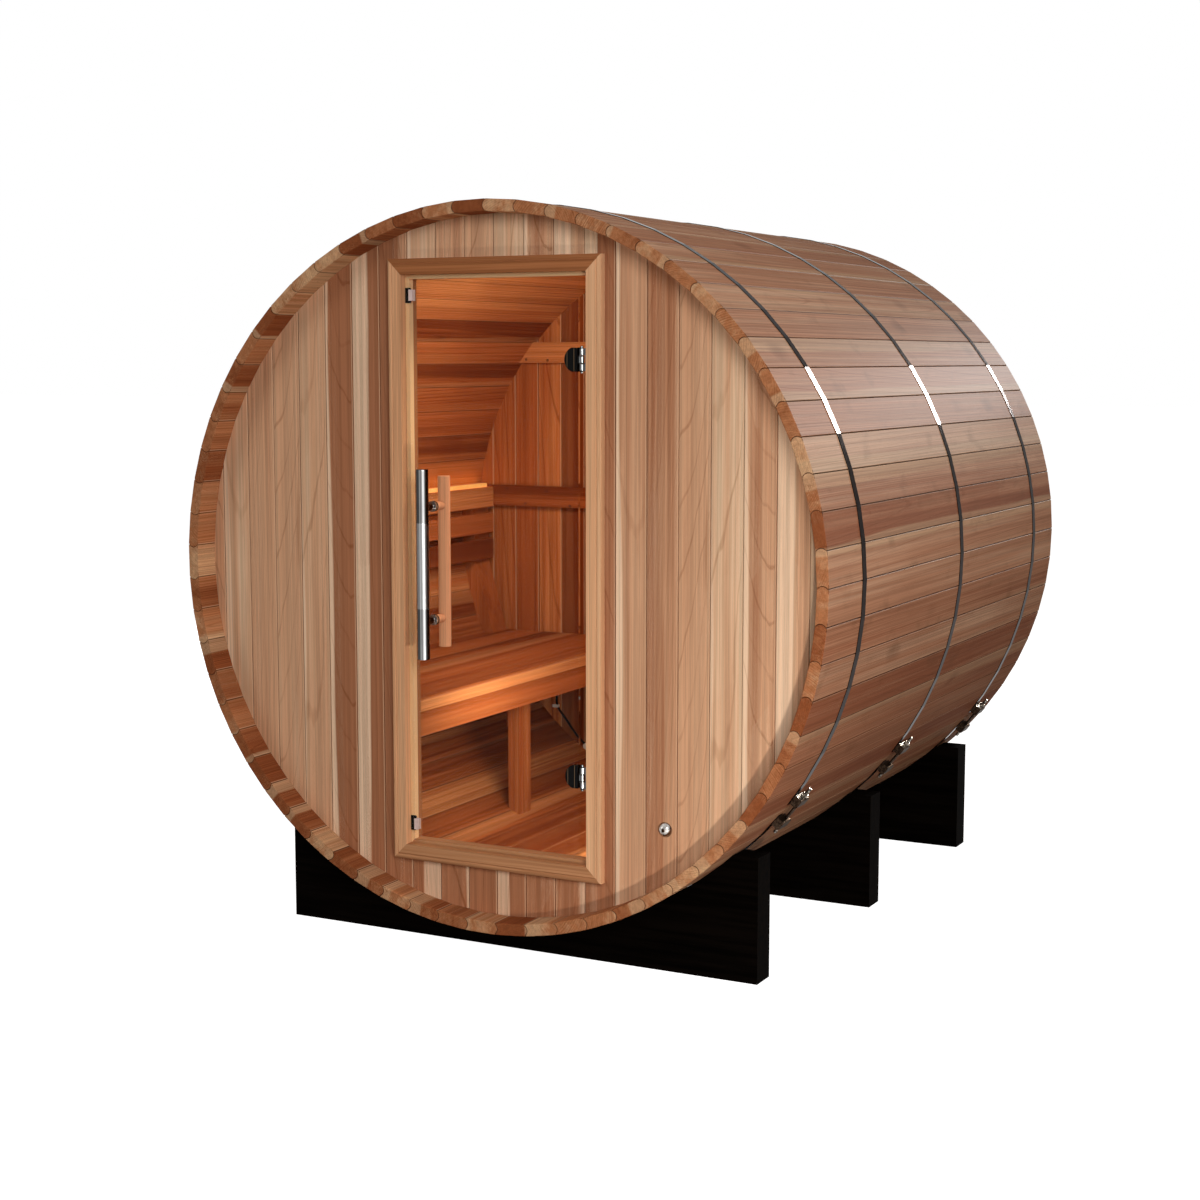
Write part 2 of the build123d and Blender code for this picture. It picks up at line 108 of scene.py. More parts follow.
def mixColor(share, first, second, blend="MIX"):
    feeds = {0: share, 6: first, 7: second}
    return newNode(treeOf(share, first, second), "ShaderNodeMix", feeds, data_type="RGBA", blend_type=blend)[2]


def noise(place, scale=1.0, detail=2.0, roughness=0.5, w=None):
    feeds = {"Vector": place, "Scale": scale, "Detail": detail, "Roughness": roughness, "W": w}
    return newNode(treeOf(place), "ShaderNodeTexNoise", feeds, noise_dimensions="3D" if w is None else "4D")["Fac"]


def noiseAlong(w, detail, roughness):
    feeds = {"W": w, "Scale": 1.0, "Detail": detail, "Roughness": roughness}
    return newNode(treeOf(w), "ShaderNodeTexNoise", feeds, noise_dimensions="1D")["Fac"]


def vectorOf(x, y, z):
    return newNode(treeOf(x, y, z), "ShaderNodeCombineXYZ", {"X": x, "Y": y, "Z": z})[0]


def split(vector):
    return newNode(treeOf(vector), "ShaderNodeSeparateXYZ", {0: vector})


def randomColor(seed):
    draw = newNode(treeOf(seed), "ShaderNodeTexWhiteNoise", {"W": seed}, noise_dimensions="1D")["Color"]
    return newNode(treeOf(seed), "ShaderNodeSeparateColor", {"Color": draw})


def srgb(*color):
    shares = [value / 255 for value in color]
    return (*(share / 12.92 if share <= 0.04045 else ((share + 0.055) / 1.055) ** 2.4 for share in shares), 1.0)


def newGroup(name, inputs, outputs, kind="ShaderNodeTree"):
    group = bpy.data.node_groups.new(name, kind)
    for way, sockets in (("INPUT", inputs), ("OUTPUT", outputs)):
        for socketName, socketType, *value in sockets:
            socket = group.interface.new_socket(socketName, in_out=way, socket_type="NodeSocket" + socketType)
            if value:
                socket.default_value = value[0]
    return group, Outputs(group.nodes.new("NodeGroupInput")), group.nodes.new("NodeGroupOutput").inputs


def useGroup(group, **feeds):
    return newNode(treeOf(*feeds.values()), "ShaderNodeGroup", feeds, node_tree=group)


# cedar: growth rings about a pith that lies beside or below each board, so that one board
# shows straight grain and the next one cathedrals, and the ends show arcs

def makeCedarGroup():
    colors = [(name, "Color", (0.5, 0.3, 0.2, 1)) for name in ("Pale", "Mid", "Deep", "Sap", "Line")]
    group, source, result = newGroup("cedarGrain", [
        ("Place", "Vector"), ("Seed", "Float", 0.0),
        ("Ring", "Float", 0.0070), ("Wander", "Float", 0.014),
        ("Sapwood", "Float", 0.5), ("Line Strength", "Float", 0.8),
        ("Spread", "Float", 0.8), ("Tone Shift", "Float", 0.0), *colors],
        [("Color", "Color"), ("Height", "Float")])
    pick = randomColor(source["Seed"])
    pickMore = randomColor(source["Seed"] + 5.37)
    place = split(source["Place"])
    across, along, through = place[0], place[1], place[2]
    seedShift = source["Seed"] * 31.7

    def stretched(x, y, z):
        return vectorOf(across * x, along * y, through * z)

    # rings: distance from a pith that wanders and dives along the board
    wander = noise(stretched(3.0, 0.7, 3.0), w=seedShift) - 0.5
    wobble = noise(stretched(24.0, 4.5, 24.0), w=seedShift) - 0.5
    pithAcross = (pick[0] - 0.5) * 0.3
    deepPith = pick[1] ** 1.6 * 0.14
    lean = (pick[2] - 0.5) * 0.012
    dive = (pickMore[0] - 0.5) * 0.045
    awayAcross = across - pithAcross + along * lean
    awayThrough = through + (deepPith + 0.05) + along * dive
    radius = calc("SQRT", awayAcross * awayAcross + awayThrough * awayThrough)
    slope = abs(awayAcross) / radius
    radius = radius + wander * source["Wander"] + wobble * (source["Wander"] * 0.16)
    ringSize = source["Ring"] * (0.6 + pick[2] * 0.7)
    turns = radius / ringSize + seedShift
    growth = calc("FRACT", turns)
    lateStart = 0.9 - slope * 0.2
    lateWood = ramp(growth, lateStart, 0.94) * ramp(growth, 1.0, 0.97)
    uneven = ramp(noiseAlong(turns * 0.57, 2.0, 0.6), 0.36, 0.6)
    hair = ramp(noiseAlong(turns * 2.1, 3.0, 0.7), 0.34, 0.68)
    lines = lateWood * (uneven * 0.5 + 0.4) * ramp(slope, 0.12, 0.55, 0.55, 1.0)

    # slower changes: streaks along the board, soft patches and single dark streaks
    streaks = ramp(noise(stretched(36.0, 0.45, 22.0), 1.0, 4.0, 0.65, seedShift), 0.34, 0.66)
    patches = noise(stretched(5.0, 1.1, 5.0), 1.0, 3.0, 0.55, seedShift + 3.0)
    vein = ramp(noise(stretched(85.0, 1.1, 85.0), w=seedShift + 7.0), 0.66, 0.76)
    fibres = noise(stretched(620.0, 9.0, 620.0), 1.0, 3.0, 0.6)
    combed = ramp(noise(stretched(130.0, 0.6, 130.0), 1.0, 3.0, 0.7, seedShift), 0.38, 0.62)

    tone = pickMore[1] * source["Spread"] + source["Tone Shift"] + streaks * 0.3
    tone = tone + (patches - 0.5) * 0.45 + (hair - 0.5) * (slope * 0.1)
    color = mixColor(ramp(tone, 0.02, 0.5), source["Pale"], source["Mid"])
    color = mixColor(ramp(tone, 0.5, 0.98), color, source["Deep"])
    side = calc("SIGN", pickMore[2] - 0.5) * across
    sapPlace = side * 14.0 + wander * 1.1
    sapStart = 1.05 - pick[0] * 1.15
    sap = ramp(sapPlace, sapStart, sapStart + 0.09) * source["Sapwood"]
    color = mixColor(sap, color, source["Sap"])

    # late wood, veins and fibres darken what is there
    white = (1.0, 1.0, 1.0, 1.0)
    hairLine = ramp(hair, 0.55, 0.95) * (slope * 0.55)
    dark = larger(larger(lines, hairLine) * (1.0 - sap * 0.35), vein * 0.7)
    color = mixColor(1.0, color, mixColor(dark * source["Line Strength"], white, source["Line"]), "MULTIPLY")
    shade = fibres * 0.4 + combed * -0.24 + 0.93
    color = mixColor(1.0, color, vectorOf(shade, shade, shade), "MULTIPLY")
    feed(result["Color"], color)
    feed(result["Height"], fibres * 0.5 - lines * 0.6)
    return group


def makeKnotGroup():
    group, source, result = newGroup("cedarKnots", [
        ("Place", "Vector"), ("Seed", "Float", 0.0), ("Amount", "Float", 0.12)],
        [("Mask", "Float")])
    place = split(source["Place"])
    shift = source["Seed"] * 53.1
    cell = vectorOf(place[0] * 11.0, place[1] * 5.5 + shift, shift)
    spots = newNode(group, "ShaderNodeTexVoronoi", {"Vector": cell, "Scale": 1.0, "Randomness": 1.0},
                 voronoi_dimensions="3D", feature="F1")
    chance = newNode(group, "ShaderNodeSeparateColor", {"Color": spots["Color"]})[0]
    heart = ramp(spots["Distance"], 0.1, 0.03)
    halo = ramp(spots["Distance"], 0.42, 0.06) * 0.4
    feed(result["Mask"], larger(heart, halo) * (chance < source["Amount"]))
    return group


# joint between boards: a dark line at the bottom of the groove and a paler arris beside it, partly real wear and
# partly a painted highlight that is stronger on one side

def makeJointGroup():
    group, source, result = newGroup("jointShade", [
        ("Color", "Color", (0.5, 0.3, 0.2, 1)), ("Place", "Vector"),
        ("Half Width", "Float", 0.042), ("Dark Reach", "Float", 0.0013),
        ("Dark", "Color", (0.03, 0.012, 0.005, 1)), ("Strength", "Float", 0.8),
        ("Worn", "Float", 0.5)],
        [("Color", "Color")])
    across = split(source["Place"])[0]
    inset = source["Half Width"] - abs(across)
    dark = ramp(inset / source["Dark Reach"], 1.0, 0.35)
    wearAndSheen = ramp(inset, 0.0042, 0.003) * ramp(inset, 0.0012, 0.002)
    # painted highlight: the pale arris is four times stronger on the side of the joint where across is positive
    wearAndSheen = wearAndSheen * (ramp(across, -0.01, 0.01, 0.25, 1.0) * source["Worn"])
    color = mixColor(wearAndSheen, source["Color"], (0.74, 0.5, 0.32, 1))
    feed(result["Color"], mixColor(dark * source["Strength"], color, source["Dark"]))
    return group


shellFront, frontWallDepth, backWallDepth, wallHalf = -0.955, 0.073, 1.466, 0.019
frontWallMiddle = shellFront + frontWallDepth + wallHalf
backWallMiddle = shellFront + backWallDepth + wallHalf
cedarGrain = makeCedarGroup()
cedarKnots = makeKnotGroup()
jointShade = makeJointGroup()

# tones of pale, middle and deep wood, of sapwood and of the ring lines
cedarTones = {
    name: {"Pale": srgb(*pale), "Mid": srgb(*middle), "Deep": srgb(*deep), "Sap": srgb(*sap), "Line": (*line, 1)}
    for name, pale, middle, deep, sap, line in (
    ("shell", (210, 169, 138), (184, 131, 100), (154, 97, 70), (214, 182, 146), (0.50, 0.34, 0.26)),
    ("rim", (220, 178, 136), (184, 122, 82), (142, 80, 48), (224, 190, 150), (0.45, 0.28, 0.18)),
    ("wall", (230, 199, 165), (212, 164, 128), (166, 110, 78), (240, 208, 176), (0.44, 0.27, 0.16)),
    ("inside", (208, 138, 86), (168, 92, 50), (116, 54, 26), (216, 154, 102), (0.30, 0.18, 0.11)),
    ("frame", (230, 182, 140), (216, 162, 120), (192, 137, 97), (240, 200, 158), (0.55, 0.38, 0.26)),
    # painted shade: the head's tones are darker than the frame's, for the lesser light that falls on it
    ("head", (198, 138, 94), (184, 122, 80), (158, 100, 62), (212, 156, 112), (0.40, 0.24, 0.14)),
    ("sill", (188, 136, 96), (176, 122, 84), (156, 104, 68), (198, 150, 110), (0.46, 0.30, 0.18)),
    ("bar", (242, 178, 140), (232, 164, 124), (220, 150, 110), (244, 184, 146), (0.80, 0.66, 0.52)))}


def startMaterial(name):
    material = bpy.data.materials.new(name)
    material.use_nodes = True
    tree = material.node_tree
    return material, tree, tree.nodes["Principled BSDF"]


def coat(shader, color, roughness):
    feed(shader.inputs["Base Color"], color)
    feed(shader.inputs["Roughness"], roughness)


def emboss(shader, height, strength, distance):
    feeds = {"Height": height, "Strength": strength, "Distance": distance}
    feed(shader.inputs["Normal"], newNode(shader.id_data, "ShaderNodeBump", feeds)[0])


def finishCedar(shader, color, height, rough=0.6):
    coat(shader, color, rough)
    shader.inputs["Specular IOR Level"].default_value = 0.003
    emboss(shader, height, 0.35, 0.0006)


def objectPlace(tree):
    place = newNode(tree, "ShaderNodeTexCoord")["Object"]
    return place, split(place)


def grain(place, number, tones, sapwood, lines, ring=0.0052, spread=0.8, shift=0.0):
    return useGroup(cedarGrain, Place=place, Seed=number, Sapwood=sapwood, Ring=ring, Spread=spread,
                    **{"Line Strength": lines, "Tone Shift": shift}, **cedarTones[tones])


# a plain piece that reads Object coordinates, with its grain along one axis; where a node holds
# several pieces, each gets its own number from its place along an axis
def cedarPiece(name, tones, along, seed, step=None, sapwood=0.3, lines=0.8, paintedRevealFrom=None):
    material, tree, shader = startMaterial(name)
    parts = objectPlace(tree)[1]
    order = {"x": (1, 0, 2), "y": (0, 1, 2), "z": (0, 2, 1)}[along]
    turned = vectorOf(*[parts[k] for k in order])
    number = seed
    if step:
        axis, pitch, start = step
        pieces = (parts["xyz".index(axis)] - start) / pitch
        number = calc("FLOOR", pieces) + seed
    wood = grain(turned, number, tones, sapwood, lines, 0.006)
    color = wood["Color"]
    if paintedRevealFrom:  # painted highlight and painted shade: the stop is painted pale for the light it catches, and what lies behind it is painted in the cabin's shaded tone
        stopHighlight = parts[1] > paintedRevealFrom[0]
        behindShade = parts[1] > paintedRevealFrom[1]
        color = mixColor(stopHighlight * 0.85, color, srgb(252, 208, 158))
        color = mixColor(behindShade * 0.85, color, srgb(150, 80, 40))
    finishCedar(shader, color, wood["Height"])
    return material


def setMaterial(node, material):
    mesh = cabinNodes[node].data
    mesh.materials.clear()
    mesh.materials.append(material)


# boards and staves carry their own coordinates: boardPlace is across, along and through the board

def boardInputs(tree):
    place = newNode(tree, "ShaderNodeAttribute", attribute_name="boardPlace")["Vector"]
    number = newNode(tree, "ShaderNodeAttribute", attribute_name="boardNumber")["Fac"]
    return place, number


def withJoints(color, place, half, reach, wearAndSheen, strength=0.8):
    return useGroup(jointShade, Color=color, Place=place, Worn=wearAndSheen, Strength=strength,
                    **{"Half Width": half, "Dark Reach": reach})["Color"]


def makeShellCedar():
    material, tree, shader = startMaterial("shellCedar")
    place, number = boardInputs(tree)
    parts = split(place)
    normal = newNode(tree, "ShaderNodeTexCoord")["Normal"]
    facing = abs(split(normal)[1])
    onEnd = facing > 0.3
    onInside = (parts[2] < -0.029) * (1.0 - onEnd)
    inRoom = (parts[1] > frontWallMiddle) * (parts[1] < backWallMiddle)
    outer = grain(place, number, "shell", 0.4, 0.62, 0.0062)
    inner = grain(place, number, "inside", 0.3, 1.0, 0.0075)
    rim = grain(place, number, "rim", 0.5, 0.9, 0.005, 1.0)
    knots = useGroup(cedarKnots, Place=place, Seed=number)["Mask"]
    color = mixColor(knots * 0.75, outer["Color"], srgb(84, 46, 30))
    stains = noise(vectorOf(parts[0] * 14.0, parts[1] * 8.0 + number, number), 1.0, 3.0, 0.55)
    color = mixColor(ramp(stains, 0.55, 0.8, 0.0, 0.3), color, srgb(110, 78, 54))
    color = withJoints(color, place, 0.0442, 0.002, 0.2)
    inner = withJoints(inner["Color"], place, 0.0427, 0.0016, 0.1)
    edge = withJoints(rim["Color"], place, 0.0427, 0.0016, 0.5)
    inner = mixColor(inRoom, edge, inner)
    # ends: the ring lines are strongest there, and the joints are dark along the bead
    cut = newNode(tree, "ShaderNodeAttribute", attribute_name="boardEdge")["Fac"]
    beside = abs(parts[0]) > 0.0335
    endColor = mixColor(0.16, rim["Color"], srgb(120, 66, 38))
    endColor = mixColor(ramp(cut, 0.05, 0.8) * (beside * 0.8), endColor, srgb(60, 32, 18))
    # painted shade: the lower staves are darker and redder
    low = ramp(objectPlace(tree)[1][2], 0.95, 0.3)
    color = mixColor(low * 0.8, color, (0.74, 0.62, 0.56, 1), "MULTIPLY")
    color = mixColor(onInside, color, inner)
    color = mixColor(onEnd, color, endColor)
    finishCedar(shader, color, outer["Height"], 0.55)
    return material


def makeBoardCedar(name, tones, half, sapwood, lines, knotShare=0.0, insideFrom=None, spread=0.8,
                   shift=0.0, palerOut=0.0, ring=0.0052, sideHighlightShift=0.0):
    material, tree, shader = startMaterial(name)
    place, number = boardInputs(tree)
    normal = newNode(tree, "ShaderNodeTexCoord")["Normal"]
    sideways = abs(split(normal)[0])
    onSide = sideways > 0.9
    # painted highlight: faces turned sideways, such as the bench's front face, are shifted paler
    if sideHighlightShift:
        shift = shift + onSide * sideHighlightShift
    if palerOut:  # the boards grow paler from the door to the barrel's sides
        side = objectPlace(tree)[1][0]
        away = abs(side + 0.03)
        shift = shift - ramp(away, 0.42, 0.62, 0.0, palerOut)
        redder = ramp(side, -0.54, -0.47) * ramp(side, -0.27, -0.29)  # the two boards left of the door
        shift = shift + redder * 0.62
    wood = grain(place, number, tones, sapwood, lines, ring, spread, shift)
    color = wood["Color"]
    if knotShare:
        knots = useGroup(cedarKnots, Place=place, Seed=number, Amount=knotShare)["Mask"]
        color = mixColor(knots * 0.6, color, srgb(96, 52, 30))
    if insideFrom:
        inner = grain(place, number, "inside", 0.1, 1.0, 0.008, 0.8, 0.16)
        through = split(place)[2]
        color = mixColor(calc(insideFrom[0], through, insideFrom[1]), color, inner["Color"])
    joints = (1.0 - onSide) * 0.65
    color = withJoints(color, place, half, 0.0013, 0.1 if tones == "inside" else 0.5, joints)
    finishCedar(shader, color, wood["Height"])
    return material


# the barrel's staves: one stave with a bead and a cove, set round the axis

barrel = {
    "axisHeight": 0.989, "length": 1.910, "radius": 0.915, "thickness": 0.030, "staves": 65, "firstJoint": 0.55,
    "beadSag": 0.0065, "beadShoulder": 0.0025, "easedArris": 0.0022, "endArris": 0.0015, "endDepth": 0.0012,
    "gap": 0.0003, "numberSeed": 7,
}


# points on the circle through three points of the plane
def arcPoints(start, tip, end, steps):
    ax, ay = start
    bx, by = tip
    cx, cy = end
    d = 2 * (ax * (by - cy) + bx * (cy - ay) + cx * (ay - by))
    ux = ((ax * ax + ay * ay) * (by - cy) + (bx * bx + by * by) * (cy - ay) + (cx * cx + cy * cy) * (ay - by)) / d
    uy = ((ax * ax + ay * ay) * (cx - bx) + (bx * bx + by * by) * (ax - cx) + (cx * cx + cy * cy) * (bx - ax)) / d
    middle = Vector((ux, uy))
    first, last = Vector(start) - middle, Vector(end) - middle
    sweep = first.angle_signed(last)
    return [tuple(middle + Matrix.Rotation(-sweep * k / steps, 2) @ first) for k in range(steps + 1)]


# outline of one stave, drawn as out from the axis and round it, its middle at angle 0
def staveSection():
    half = math.pi / barrel["staves"]
    flatOut = barrel["radius"] * math.cos(half)
    flatIn = flatOut - barrel["thickness"]
    middle = (barrel["radius"] + flatIn) / 2
    reach = barrel["thickness"] / 2 - barrel["beadShoulder"]
    ease = barrel["easedArris"]
    points = []
    for side in (-1, 1):  # the cove is on the low side and the bead on the high side
        out = Vector((math.cos(half), side * math.sin(half)))
        turn = Vector((math.sin(half), math.cos(half))) if side < 0 else Vector((-math.sin(half), math.cos(half)))
        shrink = barrel["gap"] / 2 * turn * (1 if side < 0 else -1)
        low = out * (middle - reach) + shrink
        high = out * (middle + reach) + shrink
        tip = out * middle + turn * barrel["beadSag"] + shrink
        inner = out * (flatIn / math.cos(half)) + shrink
        easedSide = out * (barrel["radius"] - ease) + shrink
        easedFace = Vector((flatOut, side * (flatOut * math.tan(half) - ease)))
        if side < 0:
            points += [easedFace, easedSide, *[Vector(p) for p in arcPoints(high, tip, low, 8)], inner]
        else:
            points += [inner, *[Vector(p) for p in arcPoints(low, tip, high, 8)], easedSide, easedFace]
    return points, flatOut


# the outline moved inwards by the same distance all round
def insetOutline(points, distance):
    moved = []
    for k, point in enumerate(points):
        before, after = points[k - 1], points[(k + 1) % len(points)]
        way = (after - before).normalized()
        moved.append(point + Vector((-way.y, way.x)) * distance)
    for k in range(len(points)):  # a short side that turned over closes up
        n = (k + 1) % len(points)
        if (moved[n] - moved[k]).dot(points[n] - points[k]) < 0:
            moved[k] = moved[n] = (moved[k] + moved[n]) / 2
    return moved


def closeRings(bm, rings):
    for first, second in zip(rings, rings[1:]):
        for k in range(len(first)):
            n = (k + 1) % len(first)
            bm.faces.new((first[k], first[n], second[n], second[k]))
    bm.faces.new(rings[0])
    bm.faces.new(list(reversed(rings[-1])))


def meshFrom(name, bm):
    bmesh.ops.recalc_face_normals(bm, faces=bm.faces)
    mesh = bpy.data.meshes.new(name)
    bm.to_mesh(mesh)
    bm.free()
    return mesh


def staveMesh():
    section, flatOut = staveSection()
    area = sum(a.x * b.y - b.x * a.y for a, b in zip(section, section[1:] + section[:1]))
    inward = barrel["endArris"] * (1 if area > 0 else -1)
    front, back, ease = -barrel["length"] / 2, barrel["length"] / 2, barrel["endDepth"]
    small = insetOutline(section, inward)
    bm = bmesh.new()
    rings = [[bm.verts.new((*p, y)) for p in outline]
             for y, outline in ((front, small), (front + ease, section), (back - ease, section), (back, small))]
    closeRings(bm, rings)
    places = [(v.co.y, v.co.z, v.co.x - flatOut) for v in bm.verts]
    edges = [float(ring in (1, 2)) for ring in range(4) for _ in section]
    for v in bm.verts:
        v.co = Vector((v.co.x, v.co.z, v.co.y))
    mesh = meshFrom("stave", bm)
    flat = [c for place in places for c in place]
    mesh.attributes.new("boardPlace", "FLOAT_VECTOR", "POINT").data.foreach_set("vector", flat)
    mesh.attributes.new("boardEdge", "FLOAT", "POINT").data.foreach_set("value", edges)
    return mesh


def newObject(name, data):
    obj = bpy.data.objects.new(name, data)
    bpy.context.scene.collection.objects.link(obj)
    return obj


# gives each piece its own number, which the cedar reads
def drawNumber(geometry, order, seed, domain):
    feeds = {2: 0.0, 3: 100.0, "ID": order, "Seed": seed}
    draw = newNode(treeOf(order), "FunctionNodeRandomValue", feeds, data_type="FLOAT")[1]
    feeds = {"Geometry": geometry, "Name": "boardNumber", "Value": draw}
    return newNode(treeOf(order), "GeometryNodeStoreNamedAttribute", feeds, data_type="FLOAT", domain=domain)[0]


def realize(geometry):
    return newNode(treeOf(geometry), "GeometryNodeRealizeInstances", {"Geometry": geometry})[0]


def finishTree(geometry, source, result):
    feeds = {"Geometry": geometry, "Material": source["Finish"]}
    feed(result["Geometry"], newNode(treeOf(geometry), "GeometryNodeSetMaterial", feeds)[0])


def instancesOn(points, instance, rotation=None):
    feeds = {"Points": points, "Instance": instance, "Rotation": rotation}
    return newNode(treeOf(points), "GeometryNodeInstanceOnPoints", feeds)[0]


def newBuilder(name, *inputs):
    sockets = [("Geometry", "Geometry"), *inputs, ("Finish", "Material")]
    return newGroup(name, sockets, [("Geometry", "Geometry")], "GeometryNodeTree")


def makeStaveRing():
    tree, source, result = newBuilder("staveRing", ("Staves", "Int", 65), ("First Joint", "Float", 0.0),
                                      ("Axis Height", "Float", 1.0), ("Number Seed", "Int", 0))
    spot = vectorOf(0.0, 0.0, source["Axis Height"])
    points = newNode(tree, "GeometryNodePoints", {"Count": source["Staves"], "Position": spot})[0]
    index = newNode(tree, "GeometryNodeInputIndex")[0]
    step = 2 * math.pi / source["Staves"]
    angle = (index + 0.5) * step + source["First Joint"]
    ring = instancesOn(points, source["Geometry"], vectorOf(0.0, angle * -1.0, 0.0))
    numbered = drawNumber(ring, index, source["Number Seed"], "INSTANCE")
    finishTree(realize(numbered), source, result)
    return tree


# runs a Geometry Nodes tree on a mesh and keeps the plain result
def runNodes(name, mesh, tree, values):
    carrier = newObject(name + "Source", mesh)
    modifier = carrier.modifiers.new("build", "NODES")
    modifier.node_group = tree
    for item in tree.interface.items_tree:
        if item.item_type == "SOCKET" and item.in_out == "INPUT" and item.name in values:
            modifier[item.identifier] = values[item.name]
    bpy.context.view_layer.update()
    graph = bpy.context.evaluated_depsgraph_get()
    carried = carrier.evaluated_get(graph)
    built = bpy.data.meshes.new_from_object(carried, preserve_all_data_layers=True, depsgraph=graph)
    built.name = name
    bpy.data.objects.remove(carrier)
    return newObject(name, built)


shellCedar = makeShellCedar()
staves = runNodes("barrelStaves", staveMesh(), makeStaveRing(), {
    "Staves": barrel["staves"], "First Joint": math.radians(barrel["firstJoint"]),
    "Axis Height": barrel["axisHeight"], "Number Seed": barrel["numberSeed"], "Finish": shellCedar})
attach(staves, "cabin")
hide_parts(*[f"staves_{k:02d}" for k in range(1, 14)])
print("barrel of", barrel["staves"], "staves:", len(staves.data.polygons), "faces")


# rows of boards, trimmed to the outline of the CAD piece that they stand for

walls = {"pitch": 0.0845, "frontJoint": -0.005, "backJoint": 0.018, "thickness": 0.038, "groove": 0.0024,
         "gap": 0.0004, "low": 0.08, "high": 1.90, "frontSeed": 3, "overSeed": 3, "underSeed": 5, "backSeed": 11}
bench = {"pitch": 0.0890, "front": -0.283, "top": 0.631, "thickness": 0.038, "arris": 0.0010, "gap": 0.0004,
         "low": -0.845, "high": 0.515, "seed": 21}
deck = {"pitch": 0.1010, "joint": 0.012, "top": 0.177, "thickness": 0.020, "arris": 0.0016, "gap": 0.0006,
        "low": -0.845, "high": 0.515, "seed": 31}


# one board with eased long edges: across is x, and along is z on a wall or y on a bench or deck
def boardMesh(width, thickness, arris, low, high, upright, middle):
    w, t = width / 2, thickness / 2
    section = [(-w, -t + arris), (-w + arris, -t), (w - arris, -t), (w, -t + arris),
               (w, t - arris), (w - arris, t), (-w + arris, t), (-w, t - arris)]
    bm = bmesh.new()
    rings = [[bm.verts.new((a, middle + b, end) if upright else (a, end, middle + b)) for a, b in section]
             for end in (low, high)]
    closeRings(bm, rings)
    return meshFrom("board", bm)


def makeBoardRow():
    tree, source, result = newBuilder(
        "boardRow", ("Boards", "Int", 10), ("Pitch", "Float", 0.1), ("First Joint", "Float", 0.0),
        ("Outline", "Object"), ("Outline Scale", "Vector", (1, 1, 1)), ("Outline Shift", "Vector", (0, 0, 0)),
        ("Upright", "Bool", True), ("Number Seed", "Int", 0))
    start = vectorOf(source["First Joint"] + source["Pitch"] * 0.5, 0.0, 0.0)
    step = vectorOf(source["Pitch"], 0.0, 0.0)
    feeds = {"Count": source["Boards"], "Start Location": start, "Offset": step}
    line = newNode(tree, "GeometryNodeMeshLine", feeds)[0]
    row = realize(instancesOn(line, source["Geometry"]))
    outline = newNode(tree, "GeometryNodeObjectInfo", {"Object": source["Outline"]})["Geometry"]
    outline = newNode(tree, "GeometryNodeMergeByDistance", {"Geometry": outline, "Distance": 1e-05})[0]
    feeds = {"Geometry": outline, "Scale": source["Outline Scale"], "Translation": source["Outline Shift"]}
    outline = newNode(tree, "GeometryNodeTransform", feeds)[0]
    trim = addNode(tree, "GeometryNodeMeshBoolean", operation="INTERSECT", solver="EXACT")
    feed(trim.inputs["Mesh 2"], row)
    feed(trim.inputs["Mesh 2"], outline)
    parts = split(newNode(tree, "GeometryNodeInputPosition")[0])
    count = calc("FLOOR", (parts[0] - source["First Joint"]) / source["Pitch"])
    across = parts[0] - (source["First Joint"] + (count + 0.5) * source["Pitch"])
    standing = vectorOf(across, parts[2], parts[1])
    lying = vectorOf(across, parts[1], parts[2])
    feeds = {"Switch": source["Upright"], "False": lying, "True": standing}
    place = newNode(tree, "GeometryNodeSwitch", feeds, input_type="VECTOR")[0]
    feeds = {"Geometry": Signal(trim.outputs["Mesh"]), "Name": "boardPlace", "Value": place}
    placed = newNode(tree, "GeometryNodeStoreNamedAttribute", feeds, data_type="FLOAT_VECTOR", domain="POINT")[0]
    numbered = drawNumber(placed, count + 40.0, source["Number Seed"], "POINT")
    finishTree(numbered, source, result)
    return tree


boardRow = makeBoardRow()


# boards on the joints of a row, trimmed to a CAD node and standing for it
def boardsFor(node, sizes, firstJoint, seed, finish, upright):
    low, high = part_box(node)
    first = math.floor((low.x - firstJoint) / sizes["pitch"]) * sizes["pitch"] + firstJoint
    count = math.ceil((high.x - first) / sizes["pitch"])
    depth = 1 if upright else 2
    middle = (low[depth] + high[depth]) / 2
    grow = Vector((1, 1, 1))
    shift = Vector((0, 0, 0))
    grow[depth] = 3.0 if upright else 1.003
    shift[depth] = middle * (1 - grow[depth])
    mesh = boardMesh(sizes["pitch"] - sizes["gap"], sizes["thickness"], sizes.get("groove", sizes.get("arris")),
                     sizes["low"], sizes["high"], upright, middle)
    row = runNodes(node + "_boards", mesh, boardRow, {
        "Boards": count, "Pitch": sizes["pitch"], "First Joint": first, "Outline": cabinNodes[node],
        "Outline Scale": tuple(grow), "Outline Shift": tuple(shift), "Upright": upright, "Number Seed": seed,
        "Finish": finish})
    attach(row, "cabin")
    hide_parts(node)
    return row


def wallCedar(name, sapwood, lines, room=("GREATER_THAN", frontWallMiddle), **looks):
    return makeBoardCedar(name, "wall", walls["pitch"] / 2, sapwood, lines, insideFrom=room, **looks)


frontCedar = wallCedar("frontWallCedar", 0.85, 0.8, spread=0.70, shift=0.20, palerOut=0.30, ring=0.0036)
overDoorCedar = wallCedar("overDoorCedar", 0.85, 0.9, spread=0.70, shift=-0.10, ring=0.0040)
